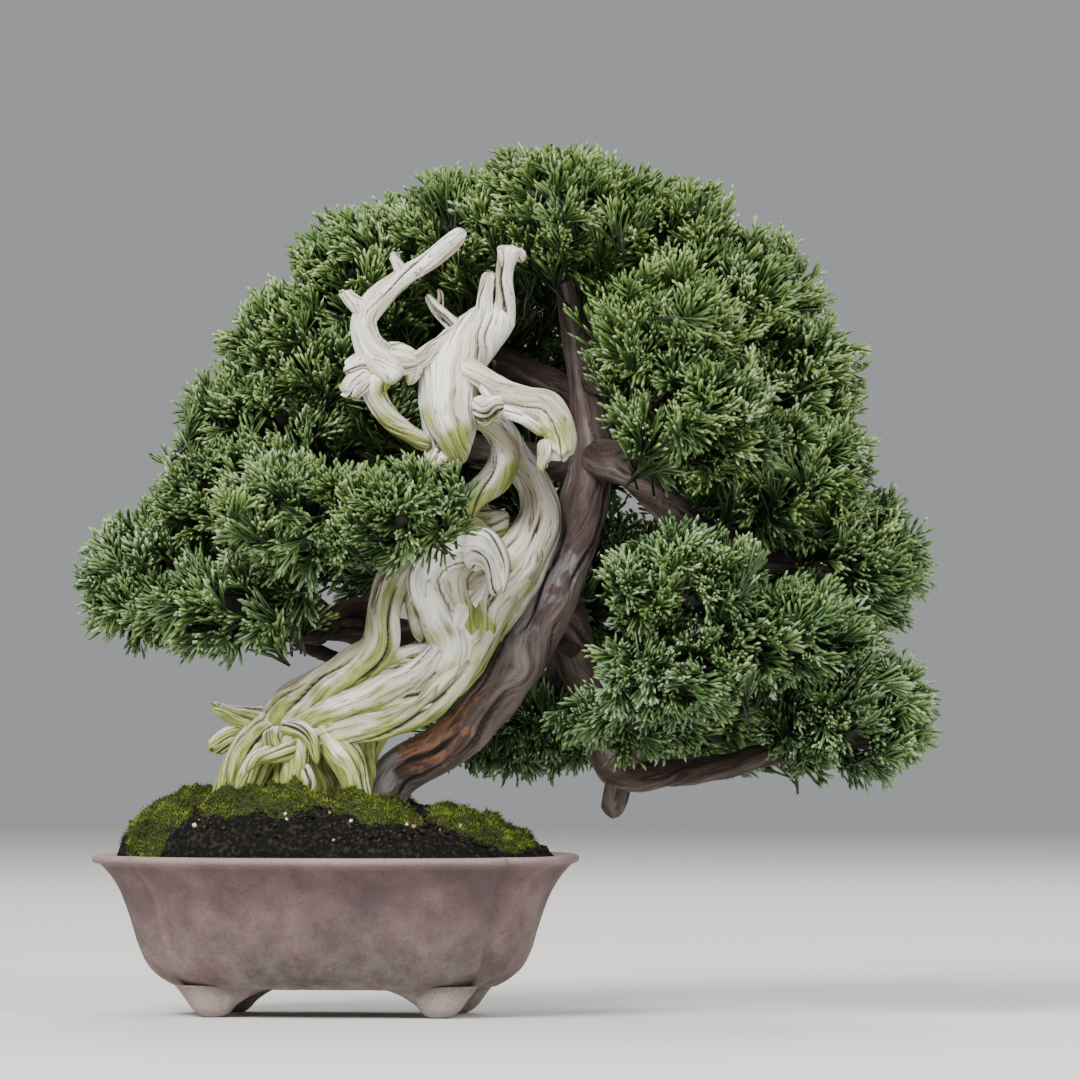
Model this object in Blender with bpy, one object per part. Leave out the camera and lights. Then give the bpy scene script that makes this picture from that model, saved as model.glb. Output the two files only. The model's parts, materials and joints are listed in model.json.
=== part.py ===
"""A juniper bonsai with bleached deadwood, in an unglazed four-lobed clay pot.

The pot stands on four cloud feet, with its overall bounding box centred over
the origin and the feet on Z = 0. Two drainage holes are covered by plastic
mesh, held by bent wire clips. Coarse grit and a soil mound fill the pot, and
moss lies on the mound. The tree leans over the right end of the pot: a flowing
deadwood trunk, the bark-covered live vein beside it, two jins (dead branches),
the live branches, and the clipped foliage pads that they carry.
"""

from math import cos, exp, pi, radians, sin, tanh

import bmesh
import bpy
import numpy as np
from mathutils import Matrix, Vector

MM = 0.001

# Overall sizes of the pot, in millimetres.
POT_LENGTH = 172.0
POT_DEPTH = 124.0
POT_HEIGHT = 57.0
FOOT_HEIGHT = 10.0
WALL = 6.5
FLOOR = 7.0
LIP_HEIGHT = 3.0
LIP_REACH = 1.4
FLARE = 6.4
FLARE_LENGTH = 7.0
WALL_SLOPE = 0.27
BASE_ROUND = 10.0
BASE_INSET = LIP_REACH + FLARE + WALL_SLOPE * (POT_HEIGHT - FOOT_HEIGHT) + BASE_ROUND
CREASE_DEPTH = 3.5
CREASE_WIDTH = 7.0
OUTLINE_POWER = 2.6
HOLE_RADIUS = 6.0
HOLE_SPACING = 56.0

# Overall sizes of the tree, above the pot's rim and across the foliage.
TREE_HEIGHT = 249.0
TREE_SPREAD = 305.0
TREE_DEPTH = 200.0
TRUNK_WIDTH = 26.0

# Soil, grit and moss.
MOUND_HEIGHT = 23.0
SOIL_BELOW_RIM = 1.5
GRIT_DEPTH = 7.0
MOSS_THICKNESS = 3.2
MOSS_LIFT = 0.9

# The mesh over each drainage hole and the wire clip that holds it.
MESH_CELLS = 9
MESH_PITCH = 2.9
MESH_THICKNESS = 1.2
WIRE_RADIUS = 0.6
CLIP_ARM = 8.0

# Clearances between neighbours.
GAP = 0.3
SEAM = 0.5
FIT = 0.5

# Where the pot's centre stands, so that the whole object is centred on Z, and
# how far the pot is turned against the tree.
POT_X = -61.0
POT_Y = -21.0
POT_TURN = radians(-7.5)

POT_RIM_Z = POT_HEIGHT
FLOOR_Z = FOOT_HEIGHT + FLOOR
GRIT_TOP = FLOOR_Z + GRIT_DEPTH
SOIL_EDGE_Z = POT_RIM_Z - SOIL_BELOW_RIM

# The tree's shape was set out at these sizes, in millimetres from the middle
# of the pot's rim. The overall sizes above stretch it.
SET_HEIGHT = 249.0
SET_SPREAD = 305.0
SET_DEPTH = 200.0
SET_WIDTH = 26.0

STRETCH = Vector((TREE_SPREAD / SET_SPREAD, TREE_DEPTH / SET_DEPTH, TREE_HEIGHT / SET_HEIGHT))
GIRTH = TRUNK_WIDTH / SET_WIDTH

STEM_SHAPE = {"sides": 10, "flatness": 0.85, "spacing": 9.0}
BAND_SHAPE = {"sides": 9, "flatness": 0.85, "spacing": 8.0}

# Each route holds (x, y, z, half width).
MAIN_BAND = [
    (-26, -4, 33, 9), (-13, -6, 47, 12), (5, -8, 53, 13), (24, -8, 57, 13), (40, -6, 69, 13),
    (50, -4, 85, 13), (62, 0, 101, 12), (71, 4, 117, 8.5), (70, 10, 130, 7), (62, 18, 143, 6.5),
    (54, 20, 156, 6),
]
LEFT_BAND = [
    (-12, -10, 53, 7), (5, -12, 64, 7), (17, -12, 72, 6), (18, -10, 85, 5), (21, -10, 95, 5),
    (28, -10, 103, 5.5), (40, -10, 105, 5.5), (51, -8, 100, 5),
]
MIDDLE_BAND = [(47, -14, 104, 6), (37, -16, 99, 8), (40, -14, 86, 7), (43, -12, 72, 7)]
BEAK = [(47, -14, 107, 8), (52, -21, 104, 7), (55, -25, 100, 6), (56, -27, 93, 4)]
UPPER_BULB = [
    (42, -20, 138, 5.5), (41, -24, 150, 10), (41, -26, 162, 12), (45, -25, 174, 10),
    (52, -25, 187, 7), (56, -28, 197, 5.5), (60, -33, 208, 4.5), (61, -35, 214, 2),
]
UPPER_PRONG = [(51, -24, 183, 5), (54, -28, 194, 3), (54, -30, 202, 2.5)]
TWISTED_LOOP = [
    (46, -22, 154, 4), (55, -14, 151, 4), (59, -10, 141, 4.5), (56, -10, 132, 4.5), (48, -10, 125, 4.2),
    (50, -4, 118, 4.5), (60, 2, 113, 5),
]
ROOTS = [
    [(-23, -9, 44, 6), (-33, -12, 35, 4.5), (-39, -14, 21, 4), (-41, -15, 12, 3)],
    [(-20, -12, 43, 6), (-29, -14, 33, 4.5), (-34, -16, 19, 4), (-35, -17, 11, 3)],
    [(-22, -8, 44, 5), (-35, -10, 48, 3), (-43, -12, 49, 1.5)],
    [(-22, -6, 40, 5), (-36, -8, 42, 3.5), (-43, -10, 37, 2)],
    [(-18, -12, 40, 6), (-17, -20, 42, 3), (-12, -21, 34, 1.6)],
    [(-10, -12, 41, 6), (-15, -21, 32, 4), (-28, -25, 30, 2)],
    [(-11, -12, 40, 7), (-15, -19, 28, 5), (-16, -20, 19, 4.5), (-17, -20, 11, 4)],
    [(0, -10, 50, 9), (1, -16, 37, 6.5), (5, -18, 21, 5), (6, -18, 12, 4)],
    [(20, -6, 45, 9), (15, -2, 28, 7), (12, 0, 18, 6), (10, 0, 8, 5)],
]
LIVE_VEIN = [
    (8, 8, 6, 7), (13, 7, 16, 8), (22, 6, 29, 8.5), (37, 6, 37, 9), (51, 6, 50, 9), (63, 8, 65, 9),
    (72, 10, 81, 9), (79, 12, 99, 9), (86, 16, 118, 8.5), (91, 20, 140, 8), (90, 22, 161, 7),
    (86, 22, 183, 5.5), (82, 20, 204, 4.5), (78, 18, 222, 3),
]
ANTLER_JIN = [
    (22, -34, 170, 8), (14, -36, 177, 6), (10, -37, 184, 5), (13, -37, 193, 5), (22, -37, 201, 4),
    (32, -38, 208, 3.5), (41, -38, 215, 3), (46, -38, 218, 1.5),
]
ANTLER_SIDES = [
    [(17, -34, 168, 6), (16, -34, 160, 4), (24, -31, 150, 3.2), (32, -29, 146, 3)],
    [(20, -34, 172, 5), (28, -33, 175, 3), (36, -29, 180, 2.6)],
    [(16, -35, 173, 5), (8, -36, 170, 3.5), (3, -37, 166, 2.5)],
    [(11, -37, 186, 4), (6, -38, 192, 3), (4, -38, 195, 2.5)],
    [(24, -37, 201, 3.5), (22, -38, 207, 2.2), (21, -38, 210, 1.6)],
]
RIGHT_JIN = [
    (46, -33, 170, 3), (58, -34, 163, 4), (69, -36, 158, 4), (76, -38, 154, 5), (78, -40, 146, 4),
    (79, -42, 137, 3),
]
BRANCHES = {
    "branch_left_low": [
        [(58, 24, 70, 7), (29, 36, 76, 6.5), (-1, 30, 81, 5.5), (-26, 12, 86, 4.5), (-48, 2, 90, 3.5),
         (-66, 0, 93, 2.5)],
        [(-1, 30, 81, 3.5), (-13, 0, 93, 3), (-16, -20, 104, 2.5)],
        [(17, 34, 77, 3), (5, 27, 68, 2.5), (-10, 22, 73, 2.5), (-24, 14, 83, 2.5)],
    ],
    "branch_left_middle": [
        [(88, 24, 136, 6), (54, 46, 144, 5), (22, 44, 147, 4.5), (-6, 28, 152, 3.5), (-26, 18, 161, 2.5)],
    ],
    "branch_left_high": [
        [(88, 24, 161, 5), (50, 46, 182, 4.5), (22, 38, 196, 3.5), (9, 24, 202, 2.5)],
    ],
    "branch_right_high": [
        [(88, 20, 166, 5), (111, 2, 174, 4.5), (134, -2, 185, 3.5), (150, 4, 194, 2.5)],
    ],
    "branch_right_middle": [
        [(90, 16, 143, 7), (107, -4, 132, 6), (128, -10, 115, 5), (153, -4, 105, 4), (182, 2, 100, 3)],
    ],
    "branch_right_low": [
        [(79, 24, 90, 7), (89, 38, 58, 6.5), (101, 24, 29, 6), (136, 0, 31, 5), (171, -14, 40, 4),
         (192, -12, 41, 3)],
        [(101, 24, 29, 4), (111, -10, 47, 3.5), (118, -30, 69, 2.8)],
        [(101, 24, 29, 5), (99, 24, 18, 4.5), (98, 24, 12, 3)],
    ],
    "branch_back_low": [
        [(84, 26, 76, 5), (77, 54, 58, 4.5), (68, 68, 45, 3)],
    ],
    "branch_back_middle": [
        [(90, 30, 147, 5), (81, 62, 148, 4.5), (72, 86, 148, 3)],
    ],
    "branch_back_right": [
        [(92, 28, 151, 5), (115, 54, 162, 4.5), (130, 64, 173, 3)],
    ],
}

# Each pad: its middle and its half sizes.
FOLIAGE = {
    "apex_front": ((78, -12, 227), (30, 28, 22)),
    "apex_left": ((41, 12, 220), (26, 30, 20)),
    "apex_right": ((115, 6, 216), (27, 30, 22)),
    "apex_back": ((79, 58, 222), (34, 34, 24)),
    "shoulder_left": ((10, 18, 205), (25, 30, 24)),
    "shoulder_right": ((146, 8, 194), (25, 32, 26)),
    "left_high": ((-15, 16, 177), (24, 30, 24)),
    "left_middle": ((-28, 10, 152), (28, 30, 20)),
    "left_inner": ((6, 30, 158), (24, 22, 19)),
    "left_tier_top": ((-38, -2, 126), (26, 32, 19)),
    "left_tier_tip": ((-68, 0, 96), (23, 32, 22)),
    "left_tier_front": ((-15, -38, 118), (28, 28, 19)),
    "left_tier_inner": ((21, -50, 119), (24, 20, 16)),
    "left_tier_low": ((-42, -20, 87), (30, 30, 16)),
    "left_tier_back": ((-46, 38, 110), (28, 28, 22)),
    "right_high_front": ((116, -32, 183), (26, 26, 24)),
    "right_high_edge": ((162, 8, 166), (22, 30, 26)),
    "right_middle_front": ((128, -42, 153), (28, 26, 20)),
    "right_middle_edge": ((165, -12, 132), (24, 30, 23)),
    "right_tier_edge": ((186, 2, 101), (22, 32, 25)),
    "right_low_crest": ((124, -52, 92), (28, 26, 20)),
    "right_low_middle": ((158, -42, 77), (28, 28, 19)),
    "right_low_front": ((120, -54, 62), (26, 22, 17)),
    "right_low_edge": ((183, -24, 47), (28, 32, 23)),
    "right_low_inner": ((108, -22, 46), (26, 22, 12)),
    "low_back": ((65, 72, 42), (32, 32, 19)),
    "low_back_right": ((134, 64, 42), (36, 30, 17)),
    "back_left_high": ((37, 74, 187), (41, 32, 31)),
    "back_right_high": ((117, 72, 187), (39, 34, 31)),
    "back_left_low": ((-2, 66, 138), (38, 34, 28)),
    "back_left_inner": ((10, 60, 106), (30, 26, 19)),
    "back_middle": ((68, 92, 146), (36, 28, 31)),
    "back_right_middle": ((150, 64, 134), (32, 34, 31)),
    "back_centre_low": ((94, 90, 92), (36, 28, 29)),
    "back_right_low": ((167, 48, 80), (31, 32, 27)),
}
UNDERSIDE = 0.85
LUMP = 0.05

# Each moss cushion: its middle on the mound and its half sizes, from the pot's middle.
MOSS = {
    "moss_left": ((-57, -8), (15, 30)),
    "moss_front_left": ((-22, -33), (20, 10)),
    "moss_front_middle": ((15, -32), (14, 10)),
    "moss_right": ((52, -8), (17, 26)),
    "moss_back": ((-8, 30), (34, 13)),
}

COLOURS = {
    "clay": (0.106, 0.062, 0.055),
    "soil": (0.018, 0.014, 0.010),
    "grit": (0.28, 0.22, 0.15),
    "moss": (0.075, 0.105, 0.014),
    "deadwood": (0.50, 0.47, 0.38),
    "bark": (0.085, 0.058, 0.048),
    "foliage": (0.035, 0.095, 0.030),
    "plastic": (0.02, 0.02, 0.02),
    "wire": (0.55, 0.56, 0.58),
}
ROUGHNESS = {"wire": 0.3, "plastic": 0.5}


def clear_scene():
    for thing in list(bpy.data.objects):
        bpy.data.objects.remove(thing, do_unlink=True)


def paint(name, finish):
    """Gives an object its own Principled material of one finish."""
    material = bpy.data.materials.new(f"{finish}_{name}")
    material.use_nodes = True
    shader = material.node_tree.nodes["Principled BSDF"]
    shader.inputs["Base Color"].default_value = (*COLOURS[finish], 1.0)
    shader.inputs["Roughness"].default_value = ROUGHNESS.get(finish, 0.8)
    shader.inputs["Metallic"].default_value = 1.0 if finish == "wire" else 0.0
    thing = bpy.data.objects[name]
    thing.data.materials.clear()
    thing.data.materials.append(material)
    thing.data.shade_smooth()
    thing.data.set_sharp_from_angle(angle=radians(45))


def object_of(name, mesh_builder):
    """Turns a bmesh, in millimetres, into a named object in metres."""
    bmesh.ops.scale(mesh_builder, vec=(MM, MM, MM), verts=mesh_builder.verts)
    bmesh.ops.recalc_face_normals(mesh_builder, faces=mesh_builder.faces)
    mesh = bpy.data.meshes.new(name)
    mesh_builder.to_mesh(mesh)
    mesh_builder.free()
    thing = bpy.data.objects.new(name, mesh)
    bpy.context.scene.collection.objects.link(thing)
    return thing


def skin(name, rings, start=None, end=None):
    """One closed surface through rings of equally many points.

    start and end are the points that close it, or None to fill the end flat.
    """
    builder = bmesh.new()
    rows = [[builder.verts.new(point) for point in ring] for ring in rings]
    count = len(rows[0])
    for low, high in zip(rows, rows[1:]):
        for i in range(count):
            j = (i + 1) % count
            builder.faces.new((low[i], low[j], high[j], high[i]))
    for row, tip in ((rows[0], start), (rows[-1], end)):
        if tip is None:
            builder.faces.new(row)
            continue
        pole = builder.verts.new(tip)
        for i in range(count):
            builder.faces.new((row[i], row[(i + 1) % count], pole))
    return object_of(name, builder)


def apply_boolean(target, tool, operation):
    """Joins the tool to the target or cuts it away, and removes the tool."""
    step = target.modifiers.new(operation, "BOOLEAN")
    step.operation = operation
    step.solver = "EXACT"
    step.use_self = operation == "UNION"
    step.object = tool
    graph = bpy.context.evaluated_depsgraph_get()
    mesh = bpy.data.meshes.new_from_object(target.evaluated_get(graph))
    target.modifiers.clear()
    target.data = mesh
    bpy.data.objects.remove(tool, do_unlink=True)


def join(target, tools):
    for tool in tools:
        apply_boolean(target, tool, "UNION")


def keep_largest(thing):
    """Leaves the largest of a mesh's separate bodies, so that off-cuts go."""
    builder = bmesh.new()
    builder.from_mesh(thing.data)
    left = set(builder.verts)
    bodies = []
    while left:
        body = set()
        edge_of_body = [left.pop()]
        while edge_of_body:
            vert = edge_of_body.pop()
            body.add(vert)
            for edge in vert.link_edges:
                other = edge.other_vert(vert)
                if other in left:
                    left.remove(other)
                    edge_of_body.append(other)
        bodies.append(body)
    bodies.sort(key=len, reverse=True)
    scraps = [vert for body in bodies[1:] for vert in body]
    bmesh.ops.delete(builder, geom=scraps, context="VERTS")
    builder.to_mesh(thing.data)
    builder.free()


def cut_clear(target, neighbour):
    """Cuts the target back from a neighbour, leaving a gap all round it."""
    mesh = neighbour.data.copy()
    normals = [vert.normal.copy() for vert in mesh.vertices]
    for vert, normal in zip(mesh.vertices, normals):
        vert.co += normal * GAP * MM
    tool = bpy.data.objects.new("clearance", mesh)
    bpy.context.scene.collection.objects.link(tool)
    apply_boolean(target, tool, "DIFFERENCE")
    keep_largest(target)


# Smooth routes and the limbs along them.


def smooth(points, spacing):
    """Points along a Catmull-Rom curve through the given ones."""
    rows = [np.array(point, float) for point in points]
    rows = [2 * rows[0] - rows[1], *rows, 2 * rows[-1] - rows[-2]]
    curve = []
    for a, b, c, d in zip(rows, rows[1:], rows[2:], rows[3:]):
        steps = max(1, round(float(np.linalg.norm((c - b)[:3])) / spacing))
        for t in np.arange(steps) / steps:
            curve.append(
                0.5 * (2 * b + (c - a) * t + (2 * a - 5 * b + 4 * c - d) * t**2 + (3 * b - a - 3 * c + d) * t**3)
            )
    curve.append(rows[-2])
    return np.array(curve)


def grown(point):
    """A place on the tree, from its place in the layout that the tree was set out at."""
    x, y, z = point[:3]
    return np.array((POT_X + x * STRETCH.x, POT_Y + y * STRETCH.y, POT_RIM_Z + z * STRETCH.z))


def grown_route(points):
    return [(*grown(point), point[3] * GIRTH) for point in points]


def limb(name, route, sides=9, flatness=0.85, spacing=9.0):
    """A closed limb of oval section along a route of (x, y, z, half width)."""
    curve = smooth(route, spacing)
    places = curve[:, :3]
    tangents = np.gradient(places, axis=0)
    tangents /= np.linalg.norm(tangents, axis=1)[:, None]
    across = np.cross(tangents[0], (0, 1, 0))
    if np.linalg.norm(across) < 0.3:
        across = np.array((1.0, 0.0, 0.0))
    rings = []
    for place, tangent, width in zip(places, tangents, curve[:, 3]):
        across = across - tangent * np.dot(across, tangent)
        across /= np.linalg.norm(across)
        deep = np.cross(tangent, across)
        turns = [2 * pi * i / sides for i in range(sides)]
        rings.append([place + width * (across * cos(t) + deep * flatness * sin(t)) for t in turns])
    start = places[0] - tangents[0] * curve[0, 3] * 0.35
    end = places[-1] + tangents[-1] * curve[-1, 3] * 0.35
    return skin(name, rings, start, end)


def clear_of_limbs(target, routes, shape):
    """Cuts the target back from each limb that goes into it, by the fit all round."""
    for route in routes:
        wider = [(x, y, z, width + FIT) for x, y, z, width in grown_route(route)]
        apply_boolean(target, limb("clearance", wider, **shape), "DIFFERENCE")
    keep_largest(target)


# The pot.


def outline(half_length, half_depth, crease_angle, groove):
    """The pot's four-lobed outline: a full oval, drawn in along four creases."""
    turns = []
    for quarter in range(4):
        share = crease_angle if quarter % 2 == 0 else pi / 2 - crease_angle
        near = [0.0, 0.25, 0.5, 0.72, 0.87, 0.95]
        middle = [1.0]
        rest = pi / 2 - share
        angles = [share * s for s in near + middle]
        angles += [share + rest * s for s in (0.05, 0.13, 0.28, 0.5, 0.75)]
        turns += [quarter * pi / 2 + angle for angle in angles]
    ring = []
    for turn in turns:
        c, s = cos(turn), sin(turn)
        x = half_length * abs(c) ** (2 / OUTLINE_POWER) * (1 if c >= 0 else -1)
        y = half_depth * abs(s) ** (2 / OUTLINE_POWER) * (1 if s >= 0 else -1)
        around = abs(turn % pi - crease_angle)
        around = min(around, abs(turn % pi - (pi - crease_angle)))
        drawn_in = groove * np.exp(-around * half_length / CREASE_WIDTH * 1.4)
        length = np.hypot(x, y)
        ring.append((x * (1 - drawn_in / length), y * (1 - drawn_in / length)))
    return ring


def pot_ring(inset, z, groove=CREASE_DEPTH):
    """The pot's outline, drawn in by inset all round, at a height."""
    upness = min(1.0, max(0.0, (z - FOOT_HEIGHT) / (POT_HEIGHT - FOOT_HEIGHT)))
    crease_angle = radians(31 + 9 * upness)
    ring = outline(POT_LENGTH / 2 - inset, POT_DEPTH / 2 - inset, crease_angle, groove)
    return [(POT_X + x, POT_Y + y, z) for x, y in ring]


def wall_inset(z):
    """How far the outer wall stands in from the rim's edge: it flares out under
    the lip, leans in evenly below, and turns in sharply at the base."""
    below = max(0.0, POT_HEIGHT - z)
    flare = FLARE * (1 - exp(-max(0.0, below - LIP_HEIGHT) / FLARE_LENGTH))
    turned_in = BASE_ROUND * (below / (POT_HEIGHT - FOOT_HEIGHT)) ** 10
    return LIP_REACH + flare + WALL_SLOPE * below + turned_in


def inner_inset(z):
    return wall_inset(z) + WALL


def make_foot(side_x, side_y):
    """One cloud foot: a toe under the corner, with an arm along each side."""
    reach_x = POT_LENGTH / 2 - BASE_INSET
    reach_y = POT_DEPTH / 2 - BASE_INSET
    top = FOOT_HEIGHT + 2.0
    arms = [(-1, -13), (-12, -5), (-39, -1), (-39, -8), (-9, -29), (-1, -27)]
    toe = [(-10, -12), (-13, -5), (-20, -3), (-22, -9), (-18, -14), (-12, -15)]
    builder = bmesh.new()
    for x, y in arms:
        builder.verts.new((POT_X + side_x * (reach_x + x), POT_Y + side_y * (reach_y + y), top))
    for x, y in toe:
        builder.verts.new((POT_X + side_x * (reach_x + x), POT_Y + side_y * (reach_y + y), 0.0))
    for x, y in toe:
        x, y = x * 1.15, y * 0.95
        builder.verts.new((POT_X + side_x * (reach_x + x), POT_Y + side_y * (reach_y + y), FOOT_HEIGHT * 0.3))
    bmesh.ops.convex_hull(builder, input=builder.verts)
    return object_of("foot", builder)


def cylinder(name, x, y, low, high, radius, sides=20):
    rings = []
    for z in (low, high):
        turns = [2 * pi * i / sides for i in range(sides)]
        rings.append([(x + radius * cos(t), y + radius * sin(t), z) for t in turns])
    return skin(name, rings)


def make_pot():
    """The clay body, its rolled lip, its feet and its two drainage holes."""
    lip_low = POT_HEIGHT - LIP_HEIGHT
    rings = [
        pot_ring(BASE_INSET + 6, FOOT_HEIGHT + 0.6, 1.5),
        pot_ring(BASE_INSET + 0.5, FOOT_HEIGHT),
    ]
    wall_levels = [FOOT_HEIGHT + rise for rise in (1.2, 4, 8, 16, 26, 34, 39)]
    rings += [pot_ring(wall_inset(z), z) for z in wall_levels]
    rings += [
        pot_ring(wall_inset(lip_low), lip_low - 0.4),
        pot_ring(LIP_REACH * 0.5, lip_low + 0.8),
        pot_ring(0, lip_low + LIP_HEIGHT * 0.55),
        pot_ring(1.0, POT_HEIGHT - 0.6),
        pot_ring(2.6, POT_HEIGHT),
        pot_ring(LIP_REACH + WALL - 0.6, POT_HEIGHT - 0.4),
        pot_ring(inner_inset(lip_low - 3), lip_low - 3),
        pot_ring(inner_inset(33), 33),
        pot_ring(inner_inset(22), 22),
        pot_ring(inner_inset(FLOOR_Z) + 3, FLOOR_Z, 1.5),
    ]
    pot = skin("pot", rings, (POT_X, POT_Y, FOOT_HEIGHT + 0.6), (POT_X, POT_Y, FLOOR_Z))
    for side_x in (-1, 1):
        for side_y in (-1, 1):
            apply_boolean(pot, make_foot(side_x, side_y), "UNION")
    for side_x in (-1, 1):
        x = POT_X + side_x * HOLE_SPACING / 2
        hole = cylinder("hole", x, POT_Y, FOOT_HEIGHT - 3, FLOOR_Z + 3, HOLE_RADIUS)
        apply_boolean(pot, hole, "DIFFERENCE")
    return pot


def make_drainage_mesh(name, x):
    """A square of plastic netting: a plate with every second cell open."""
    builder = bmesh.new()
    half = MESH_CELLS * MESH_PITCH / 2
    low = FLOOR_Z + GAP
    lines = [i * MESH_PITCH - half for i in range(MESH_CELLS + 1)]
    grid = {}
    for i, dx in enumerate(lines):
        for j, dy in enumerate(lines):
            for level in (0, 1):
                point = (x + dx, POT_Y + dy, low + level * MESH_THICKNESS)
                grid[i, j, level] = builder.verts.new(point)

    def solid(i, j):
        inside = 0 <= i < MESH_CELLS and 0 <= j < MESH_CELLS
        return inside and not (i % 2 and j % 2)

    for i in range(MESH_CELLS):
        for j in range(MESH_CELLS):
            if not solid(i, j):
                continue
            corners = [(i, j), (i + 1, j), (i + 1, j + 1), (i, j + 1)]
            for level in (0, 1):
                builder.faces.new([grid[(*corner, level)] for corner in corners])
            sides = [((i, j - 1), 0), ((i + 1, j), 1), ((i, j + 1), 2), ((i - 1, j), 3)]
            for neighbour, side in sides:
                if solid(*neighbour):
                    continue
                a, b = corners[side], corners[(side + 1) % 4]
                builder.faces.new((grid[(*a, 0)], grid[(*b, 0)], grid[(*b, 1)], grid[(*a, 1)]))
    return object_of(name, builder)


def make_wire_clip(name, x):
    """A wire staple: over the mesh, down through the hole and out under the pot."""
    y = POT_Y + MESH_PITCH
    leg = MESH_PITCH
    under = FOOT_HEIGHT - GAP - WIRE_RADIUS
    over = FLOOR_Z + GAP + MESH_THICKNESS + GAP + WIRE_RADIUS
    reach = HOLE_RADIUS + CLIP_ARM
    half = [(reach, under), (leg + 1.2, under), (leg, under + 1.2), (leg, over - 1.0), (leg - 1.0, over)]
    line = [(-dx, z) for dx, z in half] + [(dx, z) for dx, z in reversed(half)]
    curve = bpy.data.curves.new(name, "CURVE")
    curve.dimensions = "3D"
    curve.bevel_depth = WIRE_RADIUS * MM
    curve.bevel_resolution = 1
    curve.use_fill_caps = True
    spline = curve.splines.new("POLY")
    spline.points.add(len(line) - 1)
    for point, (dx, z) in zip(spline.points, line):
        point.co = ((x + dx) * MM, y * MM, z * MM, 1.0)
    guide = bpy.data.objects.new("wire_guide", curve)
    bpy.context.scene.collection.objects.link(guide)
    graph = bpy.context.evaluated_depsgraph_get()
    mesh = bpy.data.meshes.new_from_object(guide.evaluated_get(graph))
    bpy.data.objects.remove(guide, do_unlink=True)
    clip = bpy.data.objects.new(name, mesh)
    bpy.context.scene.collection.objects.link(clip)
    return clip


def block(name, x, y, low, high, half):
    corners = [(-half, -half), (half, -half), (half, half), (-half, half)]
    return skin(name, [[(x + dx, y + dy, z) for dx, dy in corners] for z in (low, high)])


def make_grit():
    """The drainage layer, with a pocket over each mesh and its clip."""
    rings = [
        pot_ring(inner_inset(FLOOR_Z) + 3 + 2 * FIT, FLOOR_Z + GAP, 1.5),
        pot_ring(inner_inset(22) + 2 * FIT, 22),
        pot_ring(inner_inset(GRIT_TOP) + 2 * FIT, GRIT_TOP),
    ]
    grit = skin("drainage_grit", rings, (POT_X, POT_Y, FLOOR_Z + GAP), (POT_X, POT_Y, GRIT_TOP))
    top = FLOOR_Z + GAP + MESH_THICKNESS + GAP + 2 * WIRE_RADIUS + FIT
    for side in (-1, 1):
        x = POT_X + side * HOLE_SPACING / 2
        half = MESH_CELLS * MESH_PITCH / 2 + FIT
        apply_boolean(grit, block("pocket", x, POT_Y, FLOOR_Z - 2, top, half), "DIFFERENCE")
    return grit


def mound(x, y):
    """The height of the soil at a place, from the pot's middle: steep at the left
    end, high under the trunk, falling away gently to the right."""
    edge_x = POT_LENGTH / 2 - LIP_REACH - WALL - FIT
    edge_y = POT_DEPTH / 2 - LIP_REACH - WALL - FIT
    along = x / edge_x
    out = min(1.0, (abs(along) ** 2.6 + abs(y / edge_y) ** 2.6) ** (1 / 2.6))
    left = 0.93 + 0.07 * cos(3.5 * along)
    fall = 1.0 - 0.42 * max(0.0, along + 0.1) ** 1.2
    ripple = 0.04 * sin(x * 0.22 + 1.0) * cos(y * 0.27)
    steepness = 4.7 - 1.3 * tanh(3.0 * along)
    dome = (1.0 - out**steepness) ** 0.75
    return SOIL_EDGE_Z + MOUND_HEIGHT * dome * (left * fall + ripple)


def make_soil():
    """The soil from the grit up to the mound, a little clear of the pot's wall."""
    edge = LIP_REACH + WALL + FIT
    levels = [GRIT_TOP + GAP, 33, SOIL_EDGE_Z - 8, SOIL_EDGE_Z - 2.5]
    rings = [pot_ring(inner_inset(z) + 2 * FIT, z) for z in levels]
    rim = pot_ring(edge + 1.0, SOIL_EDGE_Z)
    rings.append(rim)
    for share in (0.95, 0.88, 0.78, 0.64, 0.48, 0.3, 0.14):
        ring = []
        for x, y, z in rim:
            dx, dy = (x - POT_X) * share, (y - POT_Y) * share
            ring.append((POT_X + dx, POT_Y + dy, mound(dx, dy)))
        rings.append(ring[::2])
    lower, upper = rings[:5], rings[5:]
    lower = [ring[::2] for ring in lower]
    top = (POT_X, POT_Y, mound(0, 0))
    return skin("soil", lower + upper, (POT_X, POT_Y, GRIT_TOP + GAP), top)


def make_moss(name, middle, half_sizes):
    """A moss cushion: a round-edged disc that follows the mound."""
    sides = 14
    shares = [0.55, 0.88, 1.0]
    upper, lower = [], []
    for share in shares:
        top_ring, low_ring = [], []
        for i in range(sides):
            turn = 2 * pi * i / sides
            wobble = 1.0 + 0.09 * sin(3 * turn + middle[0]) + 0.06 * cos(5 * turn + middle[1])
            dx = middle[0] + half_sizes[0] * share * wobble * cos(turn)
            dy = middle[1] + half_sizes[1] * share * wobble * sin(turn)
            ground = mound(dx, dy)
            thick = MOSS_THICKNESS * max(0.0, 1 - share**3) ** 0.5 + 0.6
            top_ring.append((POT_X + dx, POT_Y + dy, ground + MOSS_LIFT + thick))
            low_ring.append((POT_X + dx, POT_Y + dy, ground + MOSS_LIFT))
        upper.append(top_ring)
        lower.append(low_ring)
    x, y = middle
    low = (POT_X + x, POT_Y + y, mound(x, y) + MOSS_LIFT)
    high = (POT_X + x, POT_Y + y, mound(x, y) + MOSS_LIFT + MOSS_THICKNESS + 0.6)
    return skin(name, lower + upper[::-1], low, high)


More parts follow.
